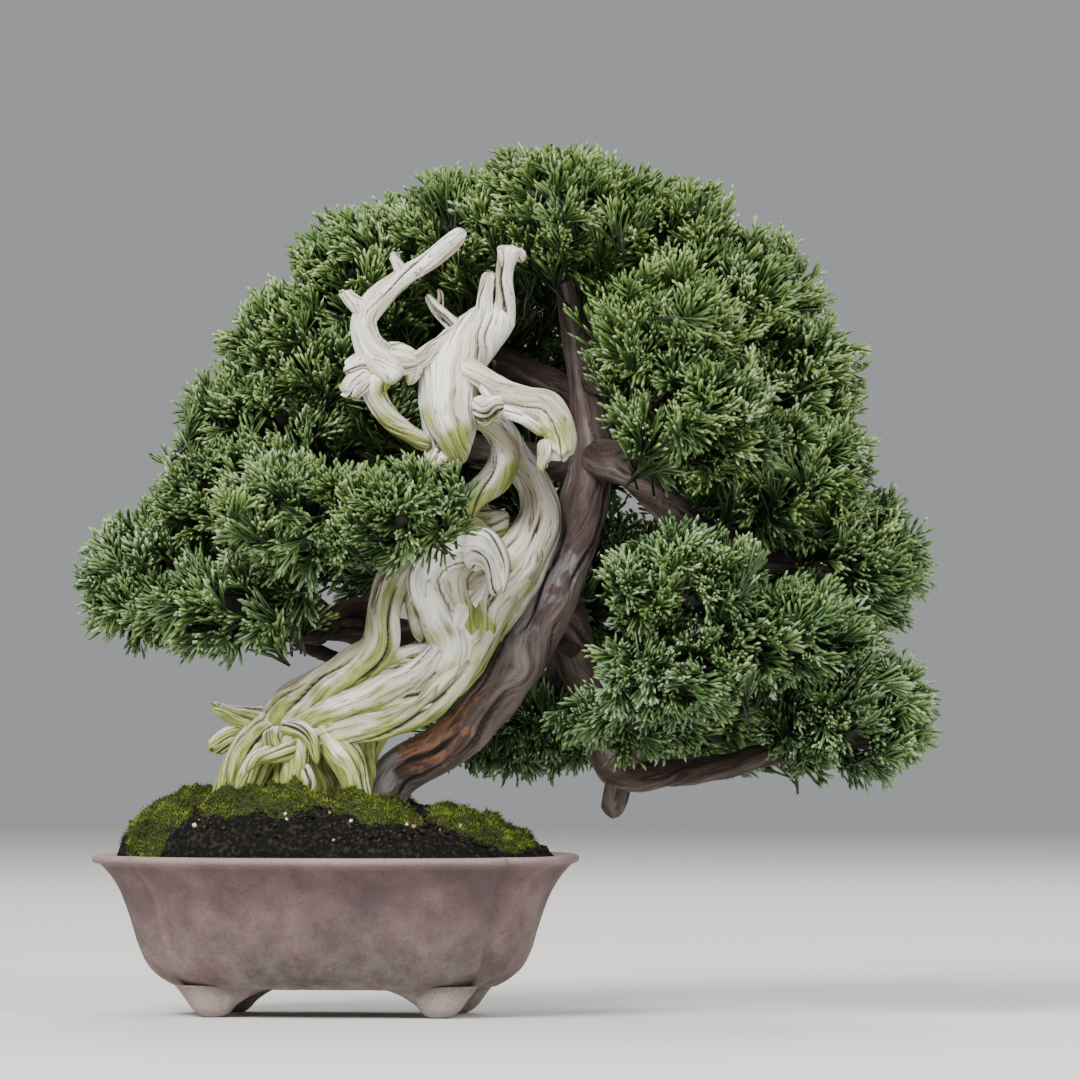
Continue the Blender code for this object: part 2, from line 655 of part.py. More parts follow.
def turn_with_pot(things):
    """Turns the pot, or what lies in it, about the pot's upright middle."""
    middle = Matrix.Translation((POT_X * MM, POT_Y * MM, 0.0))
    turn = middle @ Matrix.Rotation(POT_TURN, 4, "Z") @ middle.inverted()
    for thing in things:
        thing.data.transform(turn)


# The foliage pads.


def pad_of(name):
    """A pad's middle and half sizes, in the finished tree."""
    middle, half = FOLIAGE[name]
    return grown(middle), np.array([h * s for h, s in zip(half, STRETCH)])


def pad_reach(name, direction):
    _, half = pad_of(name)
    half = half * (1 + LUMP)
    return 1.0 / np.linalg.norm(direction / half)


def make_pad(name):
    """A lumpy oval cushion, flatter underneath, cut flat where it meets its neighbours."""
    middle, half = pad_of(name)
    phase = middle / 17.0
    rings = []
    sides, levels = 12, 7
    for level in range(1, levels):
        down = pi * level / levels
        ring = []
        for i in range(sides):
            turn = 2 * pi * i / sides
            unit = np.array((sin(down) * cos(turn), sin(down) * sin(turn), cos(down)))
            lumps = sin(4 * unit[0] + phase[0]) * sin(5 * unit[1] + phase[1]) + sin(4 * unit[2] + phase[2])
            swell = 1 + LUMP * 0.5 * lumps
            squash = UNDERSIDE if unit[2] < 0 else 1.0
            ring.append(middle + half * unit * swell * (1, 1, squash))
        rings.append(ring)
    top = middle + (0, 0, half[2])
    bottom = middle - (0, 0, half[2] * UNDERSIDE)
    pad = skin(f"foliage_{name}", rings, top, bottom)
    for other in FOLIAGE:
        if other == name:
            continue
        between = pad_of(other)[0] - middle
        distance = np.linalg.norm(between)
        direction = between / distance
        mine, theirs = pad_reach(name, direction), pad_reach(other, direction)
        if mine + theirs < distance * 0.9:
            continue
        at = middle + direction * (distance * mine / (mine + theirs) - SEAM / 2)
        trim_flat(pad, at, direction)
    return pad


def trim_flat(thing, at, direction):
    """Cuts off what lies beyond a plane and closes the cut flat."""
    builder = bmesh.new()
    builder.from_mesh(thing.data)
    cut = bmesh.ops.bisect_plane(
        builder,
        geom=builder.verts[:] + builder.edges[:] + builder.faces[:],
        dist=1e-6,
        plane_co=Vector(at) * MM,
        plane_no=Vector(direction),
        clear_outer=True,
    )
    edges = [item for item in cut["geom_cut"] if isinstance(item, bmesh.types.BMEdge)]
    if edges:
        bmesh.ops.contextual_create(builder, geom=edges)
        bmesh.ops.recalc_face_normals(builder, faces=builder.faces)
    builder.to_mesh(thing.data)
    builder.free()


def free_of_pads(place, width):
    """Whether a limb of this half width, at this place, is still outside every pad."""
    for name in FOLIAGE:
        middle, half = pad_of(name)
        half = half * (1 + LUMP) + width * 1.1 + GAP
        away = place - middle
        if away[2] < 0:
            half = half * (1, 1, UNDERSIDE) + (0, 0, width * 0.45)
        if np.linalg.norm(away / half) < 1.0:
            return False
    return True


def stop_at_pads(route, spacing=3.0):
    """A route cut short where it would enter its foliage pad."""
    kept = []
    for point in smooth(route, spacing):
        if not free_of_pads(point[:3], point[3]):
            break
        kept.append(tuple(point))
    step = max(1, len(kept) // max(2, len(kept) // 3))
    short = kept[:-1:step] + [kept[-1]]
    return short


def make_branch(name, routes):
    """A branch and its side shoots as one limb, ending where the foliage starts."""
    limbs = []
    for number, route in enumerate(routes):
        run = stop_at_pads(grown_route(route))
        limbs.append(limb(f"{name}_{number}" if number else name, run, sides=8, flatness=0.95, spacing=12.0))
    join(limbs[0], limbs[1:])
    return limbs[0]


def make_deadwood():
    """The bleached trunk: flowing bands, the twisted upper bulb and the bared roots."""
    trunk = limb("deadwood_trunk", grown_route(MAIN_BAND), **STEM_SHAPE)
    pieces = [LEFT_BAND, MIDDLE_BAND, BEAK, TWISTED_LOOP, UPPER_BULB, UPPER_PRONG, *ROOTS]
    join(trunk, [limb("band", grown_route(piece), **BAND_SHAPE) for piece in pieces])
    return trunk


def main():
    clear_scene()
    deadwood = make_deadwood()
    vein = limb("live_vein", stop_at_pads(grown_route(LIVE_VEIN)), **STEM_SHAPE)
    cut_clear(vein, deadwood)
    antler = limb("antler_jin", grown_route(ANTLER_JIN), spacing=7.0)
    join(antler, [limb("stub", grown_route(route), sides=7, spacing=7.0) for route in ANTLER_SIDES])
    cut_clear(antler, deadwood)
    right_jin = limb("right_jin", grown_route(RIGHT_JIN), spacing=7.0)
    cut_clear(right_jin, deadwood)
    branches = [make_branch(name, routes) for name, routes in BRANCHES.items()]
    for number, branch in enumerate(branches):
        for neighbour in (deadwood, vein, *branches[:number]):
            cut_clear(branch, neighbour)
    pads = [make_pad(name) for name in FOLIAGE]

    pot = make_pot()
    nets, clips = [], []
    for side, x in (("left", POT_X - HOLE_SPACING / 2), ("right", POT_X + HOLE_SPACING / 2)):
        nets.append(make_drainage_mesh(f"drainage_mesh_{side}", x))
        clips.append(make_wire_clip(f"wire_clip_{side}", x))
    grit = make_grit()
    soil = make_soil()
    cushions = [make_moss(name, *sizes) for name, sizes in MOSS.items()]
    turn_with_pot([pot, *nets, *clips, grit, soil, *cushions])
    for ground in (soil, *cushions):
        clear_of_limbs(ground, ROOTS, BAND_SHAPE)
        clear_of_limbs(ground, [MAIN_BAND, LIVE_VEIN], STEM_SHAPE)
    for cushion in cushions:
        cut_clear(cushion, soil)

    finishes = {
        "clay": [pot],
        "plastic": nets,
        "wire": clips,
        "grit": [grit],
        "soil": [soil],
        "moss": cushions,
        "deadwood": [deadwood, antler, right_jin],
        "bark": [vein, *branches],
        "foliage": pads,
    }
    for finish, things in finishes.items():
        for thing in things:
            paint(thing.name, finish)


main()
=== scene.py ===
"""A juniper bonsai in an unglazed clay pot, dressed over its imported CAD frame.

The clay pot, the mossy ground, the bleached deadwood, the live bark and the
foliage are each a class that builds its surfaces with numpy and gives them
their finishes. Lengths in the shapes are millimetres, measured from the middle
of the pot's rim, and become metres when a mesh is made.
"""

import json
import logging
from abc import ABC, abstractmethod
from collections.abc import Callable, Sequence
from dataclasses import dataclass, field
from enum import Enum
from functools import partial

import bpy
import numpy as np
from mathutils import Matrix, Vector

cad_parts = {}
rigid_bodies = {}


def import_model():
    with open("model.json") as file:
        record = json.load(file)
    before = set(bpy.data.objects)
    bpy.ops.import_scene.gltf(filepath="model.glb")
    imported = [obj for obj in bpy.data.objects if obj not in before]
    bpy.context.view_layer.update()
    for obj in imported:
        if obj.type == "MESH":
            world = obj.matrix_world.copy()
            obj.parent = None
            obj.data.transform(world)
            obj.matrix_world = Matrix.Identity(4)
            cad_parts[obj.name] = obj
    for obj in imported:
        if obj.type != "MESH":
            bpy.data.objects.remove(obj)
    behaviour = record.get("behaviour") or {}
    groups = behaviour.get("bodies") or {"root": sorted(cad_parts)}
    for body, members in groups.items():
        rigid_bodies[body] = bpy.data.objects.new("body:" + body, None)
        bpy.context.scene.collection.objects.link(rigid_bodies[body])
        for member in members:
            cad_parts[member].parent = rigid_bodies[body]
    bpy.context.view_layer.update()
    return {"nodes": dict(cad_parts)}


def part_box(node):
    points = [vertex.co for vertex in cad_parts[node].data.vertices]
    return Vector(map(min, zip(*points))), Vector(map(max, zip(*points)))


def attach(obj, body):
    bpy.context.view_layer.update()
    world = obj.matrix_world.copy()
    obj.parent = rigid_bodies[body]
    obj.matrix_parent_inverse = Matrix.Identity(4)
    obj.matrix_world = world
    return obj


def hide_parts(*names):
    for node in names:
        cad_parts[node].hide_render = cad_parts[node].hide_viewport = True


LOG = logging.getLogger("bonsai")
BODY = "root"
MM = 0.001
# Width of the round lumps on a limb, in millimetres.
LUMP_MM = 8.0
# How far a cord's tip bends to the side, as a share of its length.
BEND = 0.22

Array = np.ndarray
Socket = bpy.types.NodeSocket
# Adds a node to one material.
Wirer = Callable[..., Socket]
# Place and sRGB hex code of each stop of a colour ramp.
Stops = tuple[tuple[float, str], ...]
# Rows of x, y, z and half width or reach.
Rows = tuple[tuple[float, float, float, float], ...]


class Slot(Enum):
    """Names of the record's material slots, one passed with each new piece."""

    CLAY = "clay"
    SOIL = "soil"
    MOSS = "moss"
    DEADWOOD = "deadwood"
    BARK = "bark"
    FOLIAGE = "foliage"


# Numbers, noise and smooth curves.


def smoothstep(low: float, high: float, value: Array) -> Array:
    """Rises smoothly from 0 at low to 1 at high.

    Args:
        low: Where the rise starts.
        high: Where it ends.
        value: The numbers to weigh.

    Returns:
        3t^2 - 2t^3 of each number's share t of the way from low to high.
    """
    share = np.clip((value - low) / (high - low), 0.0, 1.0)
    return share * share * (3.0 - 2.0 * share)


def ring_noise(around: Array, along: Array, cells: tuple[int, int], seed: int) -> Array:
    """Smooth noise between -1 and 1 that closes on itself round a limb.

    Random values on a lattice of cells, blended between their four nearest
    with a smooth step both ways. The first direction wraps.

    Args:
        around: Share of the way round, any real number.
        along: Share of the way along, from 0 to 1.
        cells: How many cells there are round and along.
        seed: Chooses the random values.

    Returns:
        The noise at each pair of shares.
    """
    table = np.random.default_rng(seed).uniform(-1.0, 1.0, (cells[1] + 2, cells[0]))
    x, y = around * cells[0], np.clip(along, 0.0, 1.0) * cells[1]
    i, j = np.floor(x).astype(int), np.floor(y).astype(int)
    fx, fy = x - i, y - j
    fx, fy = fx * fx * (3 - 2 * fx), fy * fy * (3 - 2 * fy)
    left, right = i % cells[0], (i + 1) % cells[0]
    low = table[j, left] * (1 - fx) + table[j, right] * fx
    high = table[j + 1, left] * (1 - fx) + table[j + 1, right] * fx
    return low * (1 - fy) + high * fy


def wave_noise(points: Array, wavelength: float, seed: int, waves: int = 14) -> Array:
    """Smooth noise in space, about -1 to 1: a sum of sine waves in random directions.

    Args:
        points: Places, with their coordinates on the last axis.
        wavelength: The middle length of the waves, in the places' unit.
        seed: Chooses the waves.
        waves: How many there are.

    Returns:
        One number for each place.
    """
    rng = np.random.default_rng(seed)
    ways = rng.normal(size=(waves, 3))
    ways /= np.linalg.norm(ways, axis=1)[:, None]
    ways *= (2 * np.pi / wavelength) * rng.uniform(0.6, 1.5, (waves, 1))
    phases = rng.uniform(0, 2 * np.pi, waves)
    return np.sin(points @ ways.T + phases).sum(-1) * (1.6 / np.sqrt(2 * waves))


def smooth_curve(points: Array, spacing: float) -> Array:
    """Rows along a Catmull-Rom curve through the given rows.

    Each span is the cubic whose slope at a point is half the step between
    that point's neighbours.

    Args:
        points: Rows that start with x, y and z.
        spacing: The wanted step along the curve.

    Returns:
        Rows with the same columns, evenly stepped within each span.
    """
    rows = np.asarray(points, float)
    rows = np.vstack([2 * rows[0] - rows[1], rows, 2 * rows[-1] - rows[-2]])
    pieces = []
    for a, b, c, d in zip(rows, rows[1:], rows[2:], rows[3:]):
        steps = max(2, int(np.ceil(np.linalg.norm((c - b)[:3]) / spacing)))
        t = (np.arange(steps) / steps)[:, None]
        cubic = 2 * b + (c - a) * t + (2 * a - 5 * b + 4 * c - d) * t**2
        pieces.append(0.5 * (cubic + (3 * b - a - 3 * c + d) * t**3))
    pieces.append(rows[-2][None])
    return np.vstack(pieces)


def unit(vectors: Array) -> Array:
    """Vectors of length 1 in the same directions."""
    return vectors / np.maximum(np.linalg.norm(vectors, axis=-1, keepdims=True), 1e-12)


# Meshes.


@dataclass
class Surface:
    """Points, faces and point attributes of one mesh, in millimetres.

    Faces have four corners, and a triangle repeats its last corner.
    """

    points: Array
    faces: Array
    values: dict[str, Array] = field(default_factory=dict)


def join(parts: Sequence[Surface]) -> Surface:
    """Makes one surface of several.

    Args:
        parts: Surfaces with the same attributes.

    Returns:
        The joined surface.
    """
    starts = np.cumsum([0] + [len(part.points) for part in parts[:-1]])
    return Surface(
        np.vstack([part.points for part in parts]),
        np.vstack([part.faces + start for part, start in zip(parts, starts)]),
        {name: np.concatenate([part.values[name] for part in parts]) for name in parts[0].values},
    )


def face_normals(surface: Surface) -> Array:
    """Outward normals, twice as long as the faces' areas: the cross of their diagonals."""
    corners = surface.points[surface.faces]
    return np.cross(corners[:, 2] - corners[:, 0], corners[:, 3] - corners[:, 1])


def grid_faces(rows: int, columns: int) -> Array:
    """Four-cornered faces between rings of points, whose last column joins the first.

    Args:
        rows: How many rings of points there are.
        columns: How many points each ring has.

    Returns:
        Point numbers, four for each face.
    """
    across = np.arange(columns)
    beside = (across + 1) % columns
    low = (np.arange(rows - 1) * columns)[:, None]
    corners = (low + across, low + beside, low + columns + beside, low + columns + across)
    return np.stack(corners, -1).reshape(-1, 4)


def fan_faces(ring: Array, pole: int, flip: bool) -> Array:
    """Triangles from a closed ring of points to a pole.

    Args:
        ring: The ring's point numbers.
        pole: The pole's point number.
        flip: Whether to turn the triangles over.

    Returns:
        Faces whose last corner is repeated.
    """
    beside = np.roll(ring, -1)
    first, second = (beside, ring) if flip else (ring, beside)
    poles = np.full(len(ring), pole)
    return np.stack((first, second, poles, poles), -1)


def closed_grid(grid: Array, values: dict[str, Array] | None = None) -> Surface:
    """A closed surface from rings of points, with a pole in the middle of each end.

    Args:
        grid: Points, rings by columns by 3, wound so that faces look outwards.
        values: Attributes, rings by columns (by 3).

    Returns:
        The closed surface.
    """
    rows, columns = grid.shape[:2]
    points = np.vstack([grid.reshape(-1, 3), grid[0].mean(0), grid[-1].mean(0)])
    last = rows * columns
    faces = np.vstack(
        [
            grid_faces(rows, columns),
            fan_faces(np.arange(columns), last, True),
            fan_faces(np.arange(last - columns, last), last + 1, False),
        ]
    )
    held = {}
    for name, value in (values or {}).items():
        flat = value.reshape(last, *value.shape[2:])
        held[name] = np.concatenate([flat, value[0].mean(0)[None], value[-1].mean(0)[None]])
    return Surface(points, faces, held)


def add_object(name: str, data: bpy.types.ID) -> bpy.types.Object:
    """Puts a mesh, a lamp or a camera into the scene.

    Args:
        name: The object's name.
        data: What it holds.

    Returns:
        The new object, at the origin.
    """
    thing = bpy.data.objects.new(name, data)
    bpy.context.scene.collection.objects.link(thing)
    return thing


def make_object(name: str, surface: Surface, origin: Array) -> bpy.types.Object:
    """Makes a surface a mesh object at the world's origin, in metres.

    Args:
        name: The object's name.
        surface: What to make, in millimetres from the origin given.
        origin: The layout's own origin, in metres.

    Returns:
        The new object, smooth shaded, with the surface's attributes.
    """
    faces = surface.faces
    is_triangle = faces[:, 2] == faces[:, 3]
    sizes = np.where(is_triangle, 3, 4)
    keep = np.ones(faces.shape, bool)
    keep[is_triangle, 3] = False
    corners = faces[keep].astype(np.int32)
    mesh = bpy.data.meshes.new(name)
    mesh.vertices.add(len(surface.points))
    places = surface.points * MM + origin
    mesh.vertices.foreach_set("co", places.astype(np.float32).ravel())
    mesh.loops.add(len(corners))
    mesh.loops.foreach_set("vertex_index", corners)
    mesh.polygons.add(len(faces))
    starts = np.concatenate([[0], np.cumsum(sizes)[:-1]]).astype(np.int32)
    mesh.polygons.foreach_set("loop_start", starts)
    mesh.update(calc_edges=True)
    mesh.shade_smooth()
    for key, value in surface.values.items():
        is_vector = value.ndim > 1
        layer = mesh.attributes.new(key, "FLOAT_VECTOR" if is_vector else "FLOAT", "POINT")
        layer.data.foreach_set("vector" if is_vector else "value", value.astype(np.float32).ravel())
    return add_object(name, mesh)


# Materials.


def colour(code: str) -> tuple[float, float, float, float]:
    """Turns an sRGB hex code into a linear colour.

    Args:
        code: A hash sign and six hex digits.

    Returns:
        Linear red, green and blue, and an alpha of 1.
    """
    parts = np.array([int(code[i : i + 2], 16) for i in (1, 3, 5)]) / 255
    linear = np.where(parts <= 0.04045, parts / 12.92, ((parts + 0.055) / 1.055) ** 2.4)
    return (*map(float, linear), 1.0)


def add_node(
    material: bpy.types.Material,
    kind: str,
    inputs: dict[int | str, object] | None = None,
    output: int | str = 0,
    stops: Sequence[tuple[float, str]] = (),
    **settings: object,
) -> Socket:
    """Adds a shader node with its settings, values, links and colour stops.

    Args:
        material: Where it goes.
        kind: The node's type, without the ShaderNode that starts its name.
        inputs: A value, a hex colour or another node's output for each input.
        output: Which of its outputs is wanted.
        stops: Place and sRGB hex code of each stop of a colour ramp.
        **settings: The node's own properties.

    Returns:
        The wanted output.
    """
    tree = material.node_tree
    node = tree.nodes.new(f"ShaderNode{kind}")
    for name, value in settings.items():
        setattr(node, name, value)
    for number, (place, code) in enumerate(stops):
        elements = node.color_ramp.elements
        element = elements[number] if number < len(elements) else elements.new(place)
        element.position, element.color = place, colour(code)
    for key, value in (inputs or {}).items():
        if isinstance(value, Socket):
            tree.links.new(value, node.inputs[key])
        else:
            node.inputs[key].default_value = colour(value) if isinstance(value, str) else value
    return node.outputs[output]


# Settings of a Mix node, whose colours are inputs 6 and 7 and whose share is input 0.
BLEND = {"output": 2, "data_type": "RGBA"}
TINT = BLEND | {"blend_type": "MULTIPLY"}


@dataclass(frozen=True)
class Finish(ABC):
    """What every finish has: a name for the real material and how it shines."""

    name: str
    roughness: float
    specular: float = field(default=0.5, kw_only=True)
    metallic: float = field(default=0.0, kw_only=True)

    @abstractmethod
    def wire(self, add: Wirer) -> tuple[Socket, Socket | None]:
        """Adds the finish's own nodes.

        Args:
            add: Adds a node to the material.

        Returns:
            The outputs for colour and normal.
        """

    def build(self) -> bpy.types.Material:
        """Makes the material.

        Returns:
            The finished material.
        """
        material = bpy.data.materials.new(self.name)
        material.use_nodes = True
        tree = material.node_tree
        shader = tree.nodes["Principled BSDF"]
        shader.inputs["Roughness"].default_value = self.roughness
        shader.inputs["Specular IOR Level"].default_value = self.specular
        shader.inputs["Metallic"].default_value = self.metallic
        body, normal = self.wire(partial(add_node, material))
        tree.links.new(body, shader.inputs["Base Color"])
        if normal:
            tree.links.new(normal, shader.inputs["Normal"])
        return material


@dataclass(frozen=True)
class UnglazedClay(Finish):
    """Unglazed stoneware, pressed in a mould and wood fired.

    The iron-rich clay gives a purplish brown with a dry, faintly sandy face.
    Years of watering leave pale grey-green salts low on the wall, and handling
    polishes the lip lighter. The real grit is some 0.3 mm across, too fine to
    show, so it is drawn three times as coarse.
    """

    patch_mm: float = 26.0
    spot_mm: float = 9.0
    grit_mm: float = 0.9
    rim_z: float = 0.057

    def wire(self, add: Wirer) -> tuple[Socket, Socket]:
        """Adds this finish's nodes.

        Args:
            add: Adds a node to the material.

        Returns:
            The outputs for colour and normal.
        """
        place = add("TexCoord", output="Object")
        at = {"Vector": place}
        patches = add("TexNoise", at | {"Scale": 1000 / self.patch_mm, "Detail": 4.0, "Roughness": 0.6})
        spots = add("TexNoise", at | {"Scale": 1000 / self.spot_mm, "Detail": 5.0, "Roughness": 0.7})
        grit = add("TexNoise", at | {"Scale": 1000 / self.grit_mm, "Detail": 3.0})
        height = add("SeparateXYZ", {"Vector": place}, "Z")
        clay = [(0.3, "#463a3b"), (0.44, "#574545"), (0.56, "#654b49"), (0.72, "#736160")]
        body = add("ValToRGB", {"Fac": patches}, stops=clay)
        salt = add("MapRange", {"Value": spots, "From Min": 0.36, "From Max": 0.68, "To Max": 0.62})
        low_down = add("MapRange", {"Value": height, "From Min": 0.045, "From Max": 0.008})
        salt = add("Math", {0: salt, 1: low_down}, operation="MULTIPLY")
        body = add("Mix", {0: salt, 6: body, 7: "#8b8a7c"}, **BLEND)
        bloom = add("MapRange", {"Value": patches, "From Min": 0.45, "From Max": 0.7, "To Max": 0.28})
        body = add("Mix", {0: bloom, 6: body, 7: "#8f7f7a"}, **BLEND)
        rubbed = {"From Min": self.rim_z - 0.0045, "From Max": self.rim_z - 0.0008, "To Max": 0.6}
        lip = add("MapRange", {"Value": height, **rubbed})
        body = add("Mix", {0: lip, 6: body, 7: "#a38d89"}, **BLEND)
        foot = add("MapRange", {"Value": height, "From Min": 0.012, "From Max": 0.007, "To Max": 0.5})
        body = add("Mix", {0: foot, 6: body, 7: "#a89b95"}, **BLEND)
        speckle = add("ValToRGB", {"Fac": grit}, stops=[(0.36, "#a9a3a0"), (0.5, "#ffffff")])
        body = add("Mix", {0: 0.3, 6: body, 7: speckle}, **TINT)
        fine = add("Bump", {"Height": grit, "Distance": 0.00015, "Strength": 0.45})
        wide = add("Bump", {"Height": spots, "Distance": 0.0007, "Strength": 0.4, "Normal": fine})
        return body, wide


@dataclass(frozen=True)
class BleachedWood(Finish):
    """Juniper heartwood, stripped of bark, carved and weathered silver-cream.

    Sun and lime sulphur bleach it. Checks follow the grain and are darkened with
    painted shade, as are the hollows between its ridges and fibres, and green
    algae grows where it stays damp, low down and on undersides. Its fibres are
    a few tenths of a millimetre wide, so their lines are drawn coarser to show.
    """

    line_mm: float = 1.1
    hair_mm: float = 4.5
    band_mm: float = 6.2

    def wire(self, add: Wirer) -> tuple[Socket, Socket]:
        """Adds this finish's nodes.

        Args:
            add: Adds a node to the material.

        Returns:
            The outputs for colour and normal.
        """
        grain = {"Vector": add("Attribute", output="Vector", attribute_name="grain")}
        crevice = add("Attribute", output="Fac", attribute_name="crevice")
        algae = add("Attribute", output="Fac", attribute_name="algae")
        lines = add("TexNoise", grain | {"Scale": 1 / self.line_mm, "Detail": 4.0, "Roughness": 0.62})
        bands = add("TexNoise", grain | {"Scale": 1 / self.band_mm, "Detail": 3.0})
        hair = add("TexNoise", grain | {"Scale": 1 / self.hair_mm, "Detail": 2.0, "Distortion": 0.4})
        cream = [(0.30, "#a3977c"), (0.44, "#d6cdb9"), (0.58, "#fdfaf4")]
        body = add("ValToRGB", {"Fac": bands}, stops=cream)
        dusty = [(0.27, "#776b55"), (0.36, "#cfc6b3"), (0.45, "#ffffff")]
        streaks = add("ValToRGB", {"Fac": lines}, stops=dusty)
        body = add("Mix", {0: 0.85, 6: body, 7: streaks}, **TINT)
        dark = [(0.484, "#ffffff"), (0.5, "#40382a"), (0.516, "#ffffff")]
        hairs = add("ValToRGB", {"Fac": hair}, stops=dark)
        body = add("Mix", {0: 0.8, 6: body, 7: hairs}, **TINT)
        greens = [(0.32, "#4b5b16"), (0.46, "#808f31"), (0.6, "#b2b767")]
        film = add("ValToRGB", {"Fac": lines}, stops=greens)
        body = add("Mix", {0: algae, 6: body, 7: film}, **BLEND)
        # Painted shade: the cracks and hollows are darkened towards near black.
        body = add("Mix", {0: crevice, 6: body, 7: "#1b170f"}, **BLEND)
        return body, add("Bump", {"Height": lines, "Distance": 0.0007, "Strength": 0.7})


@dataclass(frozen=True)
class LivingBark(Finish):
    """Juniper bark with its outer fibres rubbed off.

    What is left is smooth and purplish brown, with long cracks, grey skins of
    old bark, and a rust-red patch where it was peeled last. Its cracks and
    hollows are darkened with painted shade. The lines of its fibres are drawn
    coarser than they are, so that they show.
    """

    shades: tuple[str, str, str, str] = ("#5a4741", "#705d58", "#8a7b77", "#a89e9c")
    line_mm: float = 1.1
    skin_mm: float = 7.7

    def wire(self, add: Wirer) -> tuple[Socket, Socket]:
        """Adds this finish's nodes.

        Args:
            add: Adds a node to the material.

        Returns:
            The outputs for colour and normal.
        """
        grain = {"Vector": add("Attribute", output="Vector", attribute_name="grain")}
        crevice, fresh, scar = (
            add("Attribute", output="Fac", attribute_name=name) for name in ("crevice", "fresh", "scar")
        )
        lines = add("TexNoise", grain | {"Scale": 1 / self.line_mm, "Detail": 5.0, "Roughness": 0.65})
        skins = add("TexNoise", grain | {"Scale": 1 / self.skin_mm, "Detail": 4.0, "Roughness": 0.55})
        body = add("ValToRGB", {"Fac": skins}, stops=list(zip((0.34, 0.47, 0.56, 0.66), self.shades)))
        rust = add("ValToRGB", {"Fac": lines}, stops=[(0.35, "#7a523d"), (0.6, "#a67a60")])
        body = add("Mix", {0: fresh, 6: body, 7: rust}, **BLEND)
        body = add("Mix", {0: scar, 6: body, 7: "#a79ea3"}, **BLEND)
        streaks = add("ValToRGB", {"Fac": lines}, stops=[(0.34, "#847972"), (0.55, "#ffffff")])
        body = add("Mix", {0: 0.8, 6: body, 7: streaks}, **TINT)
        # Painted shade: the cracks and hollows are darkened towards near black.
        body = add("Mix", {0: crevice, 6: body, 7: "#191210"}, **BLEND)
        return body, add("Bump", {"Height": lines, "Distance": 0.0009, "Strength": 0.8})


@dataclass(frozen=True)
class Growth(Finish):
    """Green growth whose colour follows its age, in two families of colour.

    Each cord or shoot carries its age, 0 at the woody base and 1 at the
    growing tip, and a tone that mixes the second family into the first. In the
    foliage a low age also paints shade: on the dark masses inside the pads and
    on tips that end deep in them.
    growing tip, and a tone that mixes the second family into the first.
    """

    first: Stops
    second: Stops

    def wire(self, add: Wirer) -> tuple[Socket, None]:
        """Adds this finish's nodes.

        Args:
            add: Adds a node to the material.

        Returns:
            The output for colour, and no normal.
        """
        age = add("Attribute", output="Fac", attribute_name="age")
        tone = add("Attribute", output="Fac", attribute_name="tone")
        first = add("ValToRGB", {"Fac": age}, stops=self.first)
        second = add("ValToRGB", {"Fac": age}, stops=self.second)
        return add("Mix", {0: tone, 6: first, 7: second}, **BLEND), None


@dataclass(frozen=True)
class Mottled(Finish):
    """A plain material: noise of one size chooses between its shades."""

    size_mm: float
    stops: Stops
    relief_mm: float = 0.0

    def wire(self, add: Wirer) -> tuple[Socket, Socket]:
        """Adds this finish's nodes.

        Args:
            add: Adds a node to the material.

        Returns:
            The outputs for colour and normal.
        """
        place = add("TexCoord", output="Object")
        noise = add("TexNoise", {"Vector": place, "Scale": 1000 / self.size_mm, "Detail": 4.0})
        normal = add("Bump", {"Height": noise, "Distance": self.relief_mm / 1000, "Strength": 0.9})
        return add("ValToRGB", {"Fac": noise}, stops=self.stops), normal


# Limbs of wood.


@dataclass(frozen=True)
class Strand:
    """A limb's route, section and ends. Sizes are in millimetres.

    Attributes:
        route: Rows of x, y, z and half width.
        flatness: How deep the section is for its width.
        start_taper: Length over which the start rounds off.
        end_taper: Length over which the end rounds off.
        splinter: How unevenly the end is broken off.
        twist: Turns of the grain over the whole length.
    """

    route: Sequence[tuple[float, float, float, float]]
    flatness: float = 0.85
    start_taper: float = 4.0
    end_taper: float = 4.0
    splinter: float = 0.0
    twist: float = 0.0


@dataclass(frozen=True)
class Relief:
    """How the surface of a limb is carved by its grain. Sizes are in millimetres.

    Attributes:
        flutes: Height of the broad flutes, as a share of the half width.
        ridges: Height of the ridges between them.
        fibres: Height of the fine fibres.
        check_depth: Depth of the drying cracks.
        check_gap: Distance between neighbouring cracks, round the limb.
        check_width: Half width of a crack.
        flute_mm: Width of a flute.
        ridge_mm: Width of a ridge.
        fibre_mm: Width of a fibre.
        stretch: How many times longer than wide the pattern is.
        knots: Height of the swellings along the limb, as a share of the half width.
        lumps: Height of the round lumps.
    """

    flutes: float = 0.17
    ridges: float = 0.34
    fibres: float = 0.16
    check_depth: float = 1.5
    check_gap: float = 4.0
    check_width: float = 0.5
    flute_mm: float = 9.0
    ridge_mm: float = 3.4
    fibre_mm: float = 1.3
    stretch: float = 10.0
    knots: float = 0.06
    lumps: float = 0.5


@dataclass
class Carried:
    """An oval section carried along a smooth route, before any relief.

    Attributes:
        places: The route's rows of x, y and z.
        across: Unit vectors over the section's width.
        deep: Unit vectors over its depth.
        width: Half width at each row.
        travelled: Distance along the route at each row.
    """

    places: Array
    across: Array
    deep: Array
    width: Array
    travelled: Array


